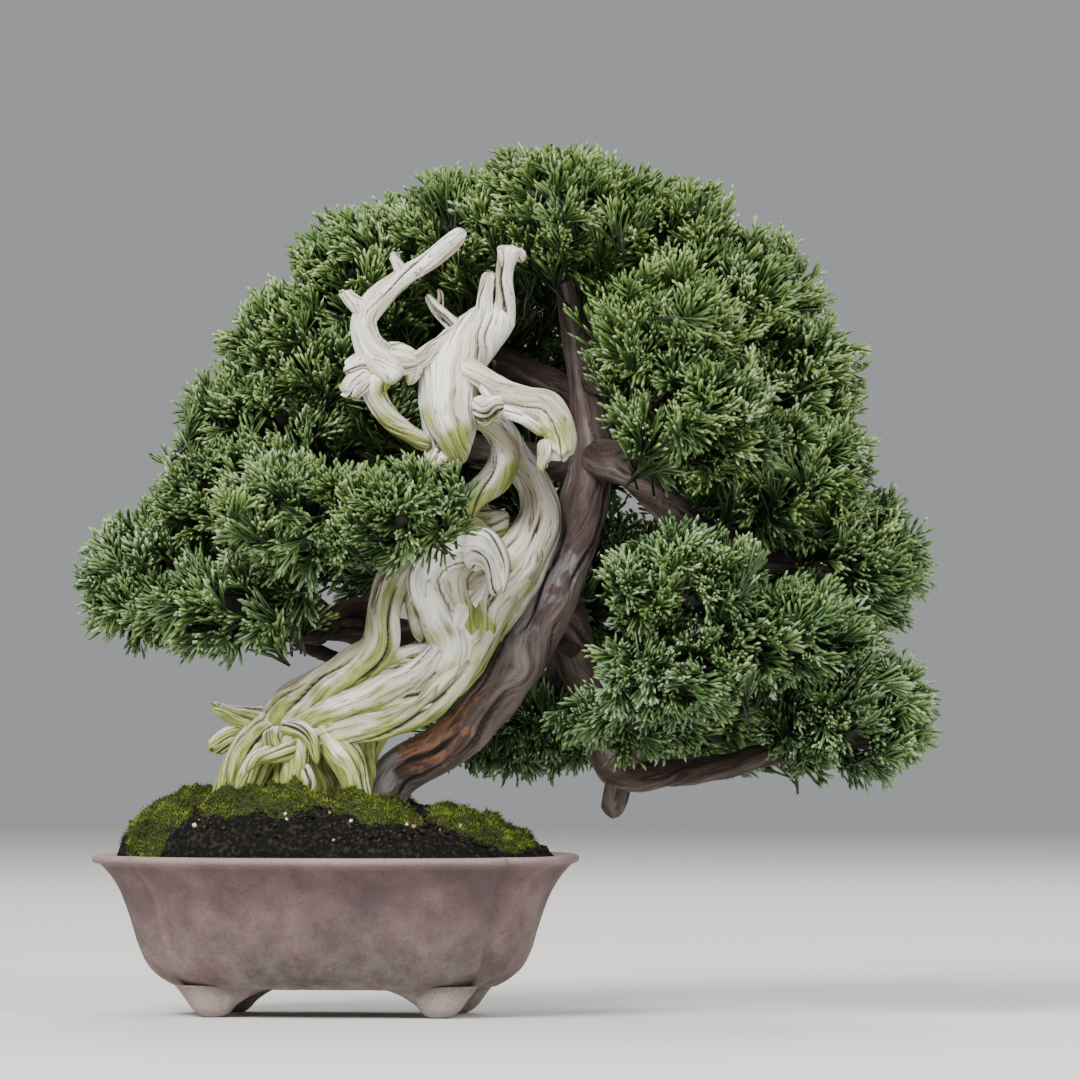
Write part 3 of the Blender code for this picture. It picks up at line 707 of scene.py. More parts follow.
def carry(strand: Strand, spacing: float) -> Carried:
    """Works out a section's place and turn at each row of a route.

    The across direction starts level and is carried along with no twist: at
    each row the part of it that lies along the route is taken out.

    Args:
        strand: The limb.
        spacing: The wanted step between rows.

    Returns:
        The carried section.
    """
    rows = smooth_curve(strand.route, spacing)
    places = rows[:, :3]
    tangents = unit(np.gradient(places, axis=0))
    across = np.empty_like(tangents)
    held = np.cross(tangents[0], (0.0, 1.0, 0.0))
    if np.linalg.norm(held) < 0.3:
        held = np.array((1.0, 0.0, 0.0))
    for row, tangent in enumerate(tangents):
        held = unit(held - tangent * (held @ tangent))
        across[row] = held
    steps = np.linalg.norm(np.diff(places, axis=0), axis=1)
    travelled = np.concatenate([[0.0], np.cumsum(steps)])
    return Carried(places, across, np.cross(tangents, across), rows[:, 3], travelled)


def drying_cracks(
    around: Array, along: Array, girth: float, length: float, relief: Relief, rng: np.random.Generator
) -> Array:
    """Cracks that run with the grain, from 0 to 1.

    Each crack follows one grain line, with a little wander of its own, over
    a random stretch of the limb. Its depth falls off as a bell curve of the
    distance round the limb, and narrows to nothing at both ends.

    Args:
        around: The grain line that each point is on, in turns.
        along: Share of the length at each point.
        girth: The distance round the limb.
        length: The limb's length.
        relief: How wide the cracks are and how far apart.
        rng: Places the cracks.

    Returns:
        How deep in a crack each point is.
    """
    deep = np.zeros(around.shape)
    count = max(2, round(girth / relief.check_gap * max(1.0, length / 70.0)))
    for number in range(count):
        line, middle = rng.random(), rng.uniform(0.0, 1.0)
        reach = rng.uniform(8.0, 34.0) / length
        own = 0.9 / girth * np.sin(along * length / rng.uniform(4.0, 9.0) + 6.3 * rng.random())
        away = np.abs((around - line + own + 0.5) % 1.0 - 0.5) * girth
        run = np.clip(1.0 - ((along - middle) / reach) ** 2, 0.0, 1.0)
        width = relief.check_width * rng.uniform(0.7, 1.6) * np.sqrt(run) + 1e-6
        deep = np.maximum(deep, np.exp(-((away / width) ** 2)) * np.sqrt(run) * rng.uniform(0.5, 1.0))
    return deep


def carve(strand: Strand, relief: Relief, step: float, seed: int, algae: float = 0.5) -> Surface:
    """Makes one limb of grained wood.

    The oval section is carried along the route. Its radius gains flutes,
    ridges and fibres: ring noise with cells much longer than wide, sampled on
    lines that wander and twist with the grain. Cracks are pressed in along
    the same lines. Both ends shrink on a quarter circle, and a splintered end
    is drawn back by a different length at each turn.

    Args:
        strand: The limb.
        relief: How it is carved.
        step: The wanted size of a face.
        seed: Chooses the noise.
        algae: How readily green grows in its hollows.

    Returns:
        A closed surface with crevice, algae and grain attributes.
    """
    body = carry(strand, step * 1.25)
    length = body.travelled[-1]
    widest = float(body.width.max())
    girth = np.pi * widest * (1 + strand.flatness)
    columns = int(np.clip(girth / step, 14, 200))
    turns = np.arange(columns) / columns
    share = (body.travelled / length)[:, None]
    tops = share * np.ones(columns)

    # The lines that the grain follows round the limb wander and twist.
    wander = 0.07 * ring_noise(turns + share * 0, tops, (3, max(2, int(length / 20))), seed)
    wander += 0.03 * ring_noise(turns + share * 0, tops, (6, max(2, int(length / 9))), seed + 1)
    around = turns + strand.twist * share + wander

    def layer(width_mm: float, offset: int, stretch: float = relief.stretch) -> Array:
        """Ring noise whose cells have the given width and the grain's stretch."""
        cells = (max(2, round(girth / width_mm)), max(2, round(length / (width_mm * stretch))))
        return ring_noise(around, tops, cells, seed + offset)

    # The layers of relief, from broad to fine. Ridges stand only in some places.
    flutes = layer(relief.flute_mm, 2, relief.stretch * 0.5)
    where = smoothstep(-0.5, 0.5, layer(relief.flute_mm * 1.3, 7, relief.stretch * 0.3))
    ridges = (1.0 - 2.0 * np.abs(layer(relief.ridge_mm, 3, relief.stretch * 0.7))) * where
    ridges = ridges + 0.5 * layer(relief.ridge_mm * 0.8, 8)
    fibres = layer(relief.fibre_mm, 4) + 0.5 * layer(relief.fibre_mm * 0.55, 5)
    check = drying_cracks(around, tops, girth, length, relief, np.random.default_rng(seed + 6))
    swell = ring_noise(turns + share * 0, tops, (3, max(2, int(length / 11))), seed + 9)

    # The width swells with the broad layers, and the fine ones lift the surface.
    lump_cells = (max(3, round(girth / LUMP_MM)), max(2, round(length / LUMP_MM)))
    scale = np.clip(body.width / widest, 0.0, 1.0)[:, None] ** 0.7
    width = body.width[:, None] * (1.0 + relief.flutes * flutes + relief.knots * swell)
    lift = scale * (relief.ridges * ridges + relief.fibres * fibres - relief.check_depth * check)
    lift = lift + scale * relief.lumps * ring_noise(turns + 0.3 * share, tops, lump_cells, seed + 11)

    # Both ends shrink on a quarter circle, and not quite to a point.
    start = np.clip(1.0 - body.travelled / max(strand.start_taper, 0.1), 0.0, 1.0)
    end = np.clip(1.0 - (length - body.travelled) / max(strand.end_taper, 0.1), 0.0, 1.0)
    round_off = np.sqrt(1.0 - 0.985 * np.maximum(start, end) ** 2)[:, None]
    angle = 2 * np.pi * turns
    reach = (width + lift) * round_off * np.cos(angle)
    depth = (strand.flatness * width + lift) * round_off * np.sin(angle)
    grid = (
        body.places[:, None]
        + body.across[:, None] * reach[..., None]
        + body.deep[:, None] * depth[..., None]
    )
    if strand.splinter:
        ragged = ring_noise(turns, tops * 0, (max(5, round(girth / 2.5)), 1), seed + 10)
        ragged = (0.5 + 0.5 * ragged) ** 1.5 * strand.splinter
        near_end = smoothstep(length - 1.6 * strand.splinter - 3.0, length, body.travelled)[:, None]
        tangents = np.cross(body.across, body.deep)
        grid -= tangents[:, None] * (ragged * near_end)[..., None]

    # Coordinates that follow the grain, where painted shade darkens the cracks and hollows, and where it is
    # damp.
    flow = np.stack(
        [
            np.cos(2 * np.pi * around) * widest,
            np.sin(2 * np.pi * around) * widest * strand.flatness,
            np.broadcast_to(body.travelled[:, None] / relief.stretch, around.shape) + seed * 7.3,
        ],
        -1,
    )
    # Painted shade: cracks, hollows between ridges and flutes, and gaps between fibres are marked to be
    # darkened in colour.
    hollow = smoothstep(0.0, -0.9, ridges + 0.5 * flutes)
    between = smoothstep(0.2, -0.8, fibres)
    crevice = np.clip(smoothstep(0.12, 0.6, check) + 0.3 * hollow + 0.12 * between, 0, 1)
    damp = algae * smoothstep(-0.1, -0.8, flutes + 0.4 * ridges)
    return closed_grid(grid, {"crevice": crevice, "algae": damp, "grain": flow})


def grow_algae(surface: Surface, low_z: float, high_z: float, soak: float, seed: int) -> None:
    """Greens a surface low down and underneath.

    Each point's algae rises where it is low, where its noise is high, and
    where the surface nearby faces down.

    Args:
        surface: The wood, with an algae attribute to be changed.
        low_z: Height below which it is all damp.
        high_z: Height above which it is dry.
        soak: How green it is all over where it is damp.
        seed: Chooses the patches.
    """
    patches = wave_noise(surface.points, 15.0, seed)
    damp = smoothstep(high_z, low_z, surface.points[:, 2] + 10.0 * patches)
    normals = face_normals(surface)
    total = np.zeros_like(surface.points)
    for corner in range(4):
        np.add.at(total, surface.faces[:, corner], normals)
    faced = unit(total)[:, 2]
    under = smoothstep(0.3, -0.45, faced + 0.25 * patches)
    above = smoothstep(0.25, 0.85, faced)
    base = surface.values["algae"] * (0.15 + 1.0 * damp)
    green = base + under * damp + (soak + 0.45 * smoothstep(0.3, 1.0, patches)) * damp
    surface.values["algae"] = np.clip(green * (1.0 - 0.8 * above), 0.0, 0.95)


# Pieces.


@dataclass
class Assembly:
    """What every sub-assembly has: where the layout's origin is, in metres."""

    origin: Array

    def layout_box(self, node: str) -> tuple[Array, Array]:
        """Low and high corners of a CAD node's box, in layout millimetres."""
        low, high = ((np.array(corner) - self.origin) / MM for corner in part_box(node))
        return low, high

    def place(
        self,
        name: str,
        surface: Surface,
        material: bpy.types.Material,
        slot: Slot,
        nodes: Sequence[str] = (),
    ) -> bpy.types.Object:
        """Makes a piece, gives it its material and ties it to the frame.

        Args:
            name: The piece's name.
            surface: Its shape, in layout millimetres.
            material: Its finish.
            slot: The record's slot that the finish belongs to; not used.
            nodes: The CAD nodes that it stands for.

        Returns:
            The finished piece.
        """
        piece = make_object(name, surface, self.origin)
        piece.data.materials.append(material)
        if nodes:
            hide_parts(*nodes)
        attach(piece, BODY)
        LOG.info("%s: %d faces", name, len(surface.faces))
        return piece


@dataclass
class Deadwood(Assembly):
    """The bleached trunk: bands of heartwood that part, cross and end in jins.

    Attributes:
        finish: The bleached wood's material.
        step: The wanted size of a face, in millimetres.
        lower: The two bands that rise from the roots and part.
        sheet: The hollowed wood between them, with its beak.
        overlays: Thin strips that cross the bands.
        roots: The bared roots.
        top: The upper bulb, its prongs and the loop that carries it.
        antler: The forked dead branch at the left.
        right: The dead branch at the right.
    """

    finish: BleachedWood
    step: float = 0.52
    lower: tuple[Strand, ...] = (
        Strand(
            [(-26, -4, 33, 9), (-13, -6, 47, 12), (5, -8, 53, 13), (24, -8, 57, 13), (40, -6, 69, 13),
             (50, -4, 85, 13), (62, 0, 101, 12), (71, 4, 117, 8.5), (70, 10, 130, 7), (62, 18, 143, 6.5),
             (54, 20, 156, 6)],
            twist=0.3,
        ),
        Strand(
            [(-24, -9, 44, 7), (-10, -12, 54, 8), (5, -13, 65, 7.5), (15, -13, 73, 7), (17, -12, 85, 6),
             (20, -11, 96, 6), (28, -11, 104, 6), (40, -11, 106, 6), (52, -8, 101, 5)],
            twist=0.25,
        ),
    )
    sheet: tuple[Strand, ...] = (
        Strand(
            [(50, -13, 106, 5), (40, -16, 105, 7.5), (34, -17, 97, 8), (37, -16, 86, 7.5),
             (42, -14, 72, 8), (36, -13, 60, 6)],
            flatness=0.6, twist=0.1, splinter=4.0,
        ),
        Strand(
            [(53, -12, 103, 5), (46, -14, 97, 7), (47, -14, 86, 8), (48, -12, 74, 8), (38, -12, 62, 7)],
            flatness=0.6, twist=0.1,
        ),
        Strand(
            [(47, -15, 108, 7.5), (53, -20, 107, 7), (57, -25, 102, 5.5), (57, -28, 94, 4),
             (57, -29, 91, 3.2)],
            twist=0.1, end_taper=2.0, splinter=2.5,
        ),
        Strand(
            [(30, -12, 98, 3), (27, -12, 90, 3), (29, -11, 80, 2.4), (31, -11, 74, 1.4)],
            flatness=0.7, splinter=6.0,
        ),
        Strand([(36, -12, 66, 5), (29, -15, 68, 4), (22, -17, 67, 2.5)], flatness=0.7, splinter=3.0),
    )
    overlays: tuple[Strand, ...] = (
        Strand(
            [(-22, -13, 42, 3), (-6, -17, 49, 5), (12, -19, 56, 5.5), (27, -18, 63, 5), (38, -17, 74, 4),
             (46, -16, 88, 4), (54, -13, 100, 3)],
            flatness=0.55, twist=0.3, start_taper=14.0, end_taper=14.0,
        ),
        Strand(
            [(-16, -13, 36, 3), (2, -18, 43, 5), (20, -18, 47, 5.5), (36, -16, 57, 5.5),
             (48, -14, 71, 5), (57, -11, 88, 5), (68, -6, 104, 4), (73, -1, 118, 2.5)],
            flatness=0.55, twist=0.2, start_taper=14.0, end_taper=16.0,
        ),
        Strand(
            [(-14, -7, 57, 3), (8, -10, 68, 4), (22, -12, 69, 4), (36, -12, 74, 3)],
            flatness=0.7, twist=0.2, start_taper=12.0, end_taper=10.0,
        ),
    )
    roots: tuple[Strand, ...] = (
        Strand([(-20, -9, 46, 8), (-31, -12, 37, 6.5), (-38, -14, 24, 5.5), (-42, -15, 12, 4)], twist=0.2),
        Strand([(-16, -12, 44, 8), (-25, -15, 34, 6), (-31, -16, 21, 5), (-33, -17, 11, 4.5)], twist=0.2),
        Strand(
            [(-22, -10, 46, 6), (-34, -12, 48, 4), (-41, -14, 51, 3), (-44, -14, 51.5, 2.6)],
            end_taper=1.5, splinter=2.0,
        ),
        Strand(
            [(-24, -8, 42, 6), (-36, -11, 42, 4), (-42, -12, 38, 3.2), (-44, -12, 36, 3)],
            end_taper=1.5, splinter=2.0,
        ),
        Strand([(-40, -13, 50, 2.5), (-43, -16, 54, 1.4)], end_taper=1.5),
        Strand([(-20, -14, 46, 4), (-12, -20, 44, 3), (-8, -22, 39, 2.4), (-6, -22, 32, 1.4)], twist=0.2),
        Strand(
            [(-12, -14, 40, 5), (-19, -21, 36, 3.4), (-27, -24, 34, 2.4), (-31, -25, 29, 1.5)],
            twist=0.2,
        ),
        Strand([(-21, -18, 45, 3), (-22, -21, 41, 3.2), (-20, -21, 37, 2)], end_taper=2.5),
        Strand([(-9, -10, 46, 9), (-14, -17, 33, 6.5), (-16, -19, 22, 5.5), (-17, -20, 11, 5)], twist=0.2),
        Strand([(-12, -18, 33, 3), (-9, -21, 25, 2.4), (-10, -22, 18, 2)]),
        Strand(
            [(-4, -10, 52, 9), (1, -16, 39, 6.5), (6, -19, 28, 5.5), (9, -20, 18, 5), (9, -20, 11, 5)],
            twist=0.2,
        ),
        Strand([(4, -21, 22, 3), (8, -24, 19, 2.6), (10, -25, 17.5, 2.4)], end_taper=1.0),
        Strand([(-4, -3, 44, 12), (-7, -4, 30, 11), (-8, -6, 10, 10)], twist=0.2),
        Strand([(-20, -4, 42, 10), (-26, -6, 28, 9), (-30, -8, 10, 8)], twist=0.2),
        Strand([(10, -5, 46, 9), (7, -3, 30, 8), (4, -3, 10, 8)], twist=0.2),
    )
    top: tuple[Strand, ...] = (
        Strand(
            [(41, -20, 137, 5), (40, -23, 144, 8.5), (40, -25, 153, 11), (40.5, -26, 163, 12),
             (43, -25, 173, 11.5), (49, -25, 182, 9.5), (55, -26, 189, 8), (57, -27, 194, 6)],
            twist=0.35, start_taper=3.0, splinter=2.0,
        ),
        Strand(
            [(58, -26, 184, 4.5), (60, -28, 195, 3.4), (60, -31, 204, 3.0), (61, -34, 210, 3.4),
             (62, -35, 214.5, 4.2)],
            twist=0.2, end_taper=1.5, splinter=3.0,
        ),
        Strand([(62, -34, 209, 2.6), (65, -34, 211, 2.0), (66, -34, 208, 1.6)], end_taper=1.5),
        Strand(
            [(52, -26, 183, 5), (52.5, -28, 193, 3.2), (53.5, -30, 200, 2.9), (55, -31, 205.5, 2.4)],
            end_taper=1.5, splinter=2.5,
        ),
        Strand(
            [(50, -29, 155, 6), (56, -34, 157.5, 4.6), (60.5, -37, 158, 3.8)],
            end_taper=1.0, splinter=2.0,
        ),
        Strand(
            [(45, -25, 184, 3.2), (40, -26, 188, 2.6), (36, -28, 192, 2.1), (32.5, -30, 197, 1.3)],
            end_taper=1.5,
        ),
        Strand([(37, -27, 191, 1.8), (37.5, -29, 196, 1.2), (36.5, -30, 199, 0.8)], end_taper=1.0),
        Strand([(39, -23, 141, 6), (35, -27, 137, 4), (34, -27, 134, 2.5)], splinter=3.0),
        Strand(
            [(46, -20, 158, 4.5), (56, -16, 152, 4.5), (60, -13, 143, 5), (57, -13, 134, 5),
             (48, -12, 126, 4.8), (44, -8, 119, 5), (52, 0, 112, 5.5)],
            flatness=1.0, twist=0.8,
        ),
        Strand([(38, -6, 124, 6), (48, -2, 119, 7), (60, 2, 114, 7)], twist=0.3),
    )
    antler: tuple[Strand, ...] = (
        Strand(
            [(23, -33, 167, 6), (17, -35, 173, 6.8), (12, -37, 180, 5.4), (11, -37, 188, 4.8),
             (16, -37, 196, 4.6), (23, -37, 202, 4.0), (32, -38, 208, 3.4), (40, -38, 214, 3.1),
             (44.5, -38, 217.5, 2.6), (46.5, -38, 219, 1.9)],
            end_taper=2.2, twist=0.25, splinter=1.5,
        ),
        Strand(
            [(15, -34, 170, 6), (14, -34, 162, 4.4), (19, -32, 154, 3.8), (27, -30, 148, 3.5),
             (34, -27, 144, 3.6)],
            twist=0.3,
        ),
        Strand(
            [(17, -34, 176, 5), (24, -34, 173, 4.6), (30, -33, 174, 3.2), (37, -30, 179, 2.8),
             (45, -26, 184, 3)],
            twist=0.3,
        ),
        Strand(
            [(16, -34, 177, 4), (23, -34, 176, 4.4), (28, -33, 172, 3.4), (26, -33, 165, 2)],
            twist=0.2,
        ),
        Strand([(17, -35, 173, 5.5), (9, -36, 172, 4), (3, -37, 169.5, 3)], end_taper=1.0, splinter=4.0),
        Strand([(13, -36, 170, 4), (7, -37, 167, 3), (2, -38, 161.5, 2.2)], end_taper=1.0, splinter=5.0),
        Strand([(14, -36, 168, 3), (9, -37, 163, 2.4), (6, -38, 159.5, 1.6)], end_taper=1.0, splinter=3.0),
        Strand(
            [(13, -37, 188, 4), (8, -38, 193, 2.8), (5, -38, 196, 2.4), (4, -38, 198, 2.6)],
            end_taper=1.0,
        ),
        Strand([(5, -38, 196, 2), (2, -38, 197.5, 1.3)], end_taper=1.0),
        Strand(
            [(25, -37, 203, 3.5), (22, -38, 208, 2.4), (21, -38, 212, 1.7)],
            end_taper=1.0, splinter=1.5,
        ),
        Strand([(29, -38, 206, 2.6), (30.5, -41, 204, 2.2)], end_taper=1.0),
    )
    right: tuple[Strand, ...] = (
        Strand(
            [(44, -30, 173, 4), (56, -34, 165, 4.2), (67, -36, 160, 4.4), (75, -38, 156, 5.6),
             (79, -40, 147, 5.6), (80, -42, 138, 4.6)],
            twist=0.3, end_taper=1.5, splinter=4.0,
        ),
        Strand([(52, -33, 168, 3), (58, -35, 158, 3), (68, -37, 154, 3.4), (76, -39, 148, 3)], twist=0.3),
        Strand([(73, -38, 158, 3), (75, -39, 162.5, 2.2)], end_taper=1.0),
        Strand(
            [(75, -41, 146, 3.4), (73, -43, 138, 2.6), (74, -43, 134, 1.8)],
            end_taper=1.0, splinter=2.0,
        ),
    )
    trunk_relief: Relief = Relief()
    root_relief: Relief = Relief(
        flutes=0.2, ridges=0.36, fibres=0.16, check_depth=1.1, check_gap=4.5, flute_mm=6.0, ridge_mm=2.8,
        stretch=7.0, knots=0.12,
    )
    jin_relief: Relief = Relief(
        flutes=0.13, ridges=0.26, fibres=0.12, check_depth=0.9, check_gap=4.4, check_width=0.36, flute_mm=5.0,
        ridge_mm=2.2, fibre_mm=1.1, stretch=7.0, knots=0.13,
    )

    def bundle(self, strands: Sequence[Strand], relief: Relief, seed: int, algae: float) -> Surface:
        """Carves several strands as one surface.

        Args:
            strands: The limbs.
            relief: How they are carved.
            seed: Chooses the noise, one step on for each strand.
            algae: How readily green grows on them.

        Returns:
            The joined surface.
        """
        return join(
            [
                carve(strand, relief, self.step, seed + 17 * number, algae)
                for number, strand in enumerate(strands)
            ]
        )

    def build(self) -> None:
        """Builds the pieces of deadwood."""
        material = self.finish.build()
        trunk = ["deadwood_trunk"]
        # Piece, strands, relief, seed, green in hollows, (damp below, dry above, soak), CAD nodes.
        bundles = (
            ("heartwood_bands", self.lower, self.trunk_relief, 100, 0.8, (50.0, 135.0, 0.18), trunk),
            ("heartwood_sheet", self.sheet, self.trunk_relief, 200, 0.9, (30.0, 120.0, 0.12), trunk),
            ("heartwood_strips", self.overlays, self.trunk_relief, 300, 0.5, (34.0, 90.0, 0.05), trunk),
            ("heartwood_roots", self.roots, self.root_relief, 500, 1.25, (46.0, 60.0, 0.6), trunk),
            ("heartwood_top", self.top, self.trunk_relief, 700, 0.6, (126.0, 158.0, 0.1), trunk),
            ("antler_wood", self.antler, self.jin_relief, 900, 0.15, (146.0, 172.0, 0.08), ["antler_jin"]),
            ("right_jin_wood", self.right, self.jin_relief, 1100, 0.25, (130.0, 150.0, 0.1), ["right_jin"]),
        )
        for name, strands, relief, seed, algae, damp, nodes in bundles:
            surface = self.bundle(strands, relief, seed, algae)
            grow_algae(surface, *damp, seed)
            self.place(name, surface, material, Slot.DEADWOOD, nodes)


@dataclass
class LivingWood(Assembly):
    """The live vein behind the deadwood, and the branches that it feeds.

    Attributes:
        finish: The vein's bark.
        branch_finish: The branches' rougher bark, its colours painted darker than the vein's to stand for the
            shade among the branches.
        step: The wanted size of a face, in millimetres.
        vein_seed: Chooses the vein's noise.
        branch_seed: Chooses the first branch's noise.
        vein: The vein's route.
        peeled: Where its bark was peeled last.
        scars: Where old skins of bark are left.
        branches: The limbs of each CAD branch.
    """

    finish: LivingBark
    branch_finish: LivingBark
    step: float = 0.9
    vein_seed: int = 2100
    branch_seed: int = 2300
    vein: Strand = Strand(
        [(8, 8, 6, 7), (13, 7, 16, 8), (22, 6, 29, 8.5), (37, 6, 37, 9), (51, 6, 50, 9), (63, 8, 65, 9),
         (72, 10, 81, 9), (79, 12, 99, 9), (86, 16, 118, 8.5), (91, 20, 140, 8), (90, 22, 161, 7),
         (86, 22, 183, 5.5), (82, 20, 204, 4.5), (78, 18, 222, 3)],
        twist=0.15,
    )
    peeled: Rows = ((25, -2, 36, 7), (31, -2, 40, 8), (38, -2, 45, 7), (44, -2, 51, 5))
    scars: Rows = ((11, 0, 28, 6), (16, 0, 31, 6), (64, 0, 84, 6), (70, 3, 92, 7), (76, 6, 102, 7))
    branches: dict[str, tuple[Strand, ...]] = field(
        default_factory=lambda: {
            "branch_left_low": (
                Strand(
                    [(58, 24, 70, 7), (29, 36, 76, 6.5), (-1, 30, 81, 5.5), (-26, 12, 86, 4.5),
                     (-48, 2, 90, 3.5), (-66, 0, 93, 2.5)],
                    twist=1.0,
                ),
                Strand([(-1, 30, 81, 3.5), (-13, 0, 93, 3), (-16, -20, 104, 2.5)], twist=0.5),
                Strand(
                    [(17, 34, 77, 3), (5, 27, 68, 2.5), (-10, 22, 73, 2.5), (-24, 14, 83, 2.5)],
                    twist=1.0,
                ),
                Strand(
                    [(20, 35, 80, 4), (8, 26, 88, 3), (-6, 20, 84, 2.6), (-16, 10, 92, 2.4),
                     (-30, 4, 90, 2.2)],
                    twist=1.0,
                ),
                Strand(
                    [(0, 28, 82, 3), (-8, 16, 76, 2.2), (-19, 6, 80, 2), (-24, -6, 90, 1.6)],
                    twist=1.0,
                ),
                Strand([(-20, 12, 86, 3), (-32, -6, 88, 2.4), (-40, -16, 94, 1.8)], twist=0.6),
                Strand([(-38, 4, 89, 3), (-48, 14, 96, 2.4), (-56, 16, 100, 1.8)], twist=0.6),
            ),
            "branch_left_middle": (
                Strand(
                    [(88, 24, 136, 6), (54, 46, 144, 5), (22, 44, 147, 4.5), (-6, 28, 152, 3.5),
                     (-26, 18, 161, 2.5)],
                    twist=0.6,
                ),
            ),
            "branch_left_high": (
                Strand(
                    [(88, 24, 161, 5), (50, 46, 182, 4.5), (22, 38, 196, 3.5), (9, 24, 202, 2.5)],
                    twist=0.5,
                ),
            ),
            "branch_right_high": (
                Strand(
                    [(88, 20, 166, 5), (111, 2, 174, 4.5), (134, -2, 185, 3.5), (150, 4, 194, 2.5)],
                    twist=0.5,
                ),
            ),
            "branch_right_middle": (
                Strand(
                    [(90, 16, 143, 7), (107, -4, 132, 6), (128, -10, 115, 5), (153, -4, 105, 4),
                     (182, 2, 100, 3)],
                    twist=0.6,
                ),
            ),
            "branch_right_low": (
                Strand(
                    [(79, 24, 90, 7), (89, 38, 58, 6.5), (101, 24, 29, 6), (136, 0, 31, 5),
                     (171, -14, 40, 4), (192, -12, 41, 3)],
                    twist=0.8,
                ),
                Strand([(101, 24, 29, 4), (111, -10, 47, 3.5), (118, -30, 69, 2.8)], twist=0.4),
                Strand([(101, 24, 29, 5), (99, 24, 18, 4.5), (98, 24, 12, 3)]),
            ),
            "branch_back_low": (Strand([(84, 26, 76, 5), (77, 54, 58, 4.5), (68, 68, 45, 3)]),),
            "branch_back_middle": (Strand([(90, 30, 147, 5), (81, 62, 148, 4.5), (72, 86, 148, 3)]),),
            "branch_back_right": (Strand([(92, 28, 151, 5), (115, 54, 162, 4.5), (130, 64, 173, 3)]),),
        }
    )
    vein_relief: Relief = Relief(
        flutes=0.10, ridges=0.26, fibres=0.18, check_depth=1.6, check_gap=7.0, check_width=0.6, flute_mm=12.0,
        ridge_mm=5.0, fibre_mm=1.8, stretch=8.0, knots=0.06,
    )
    branch_relief: Relief = Relief(
        flutes=0.16, ridges=0.4, fibres=0.22, check_depth=0.9, check_gap=5.0, flute_mm=6.0, ridge_mm=3.0,
        fibre_mm=1.5, stretch=5.0, knots=0.16,
    )

    def mark(self, surface: Surface, name: str, places: Rows) -> None:
        """Marks patches of another age: within an uneven reach of each place.

        Args:
            surface: The bark, which gains an attribute.
            name: The attribute's name.
            places: Rows of x, y, z and reach.
        """
        held = np.zeros(len(surface.points))
        ragged = 3.5 * wave_noise(surface.points, 8.0, 31) + 1.5 * wave_noise(surface.points, 3.0, 32)
        for x, y, z, reach in places:
            away = np.linalg.norm(surface.points - (x, y, z), axis=1) + ragged
            held = np.maximum(held, smoothstep(reach + 1.5, reach - 1.5, away))
        surface.values[name] = held

    def build(self) -> None:
        """Builds the vein and the branches."""
        material = self.finish.build()
        vein = carve(self.vein, self.vein_relief, self.step * 0.8, self.vein_seed, 0.0)
        self.mark(vein, "fresh", self.peeled)
        self.mark(vein, "scar", self.scars)
        self.place("vein_bark", vein, material, Slot.BARK, ["live_vein"])
        # The branches' darker bark is painted shade.
        material = self.branch_finish.build()
        for number, (node, strands) in enumerate(self.branches.items()):
            seed = self.branch_seed + 40 * number
            bark = join(
                [
                    carve(strand, self.branch_relief, self.step, seed + 9 * part, 0.0)
                    for part, strand in enumerate(strands)
                ]
            )
            for age in ("fresh", "scar"):
                self.mark(bark, age, ())
            self.place(f"{node}_bark", bark, material, Slot.BARK, [node])


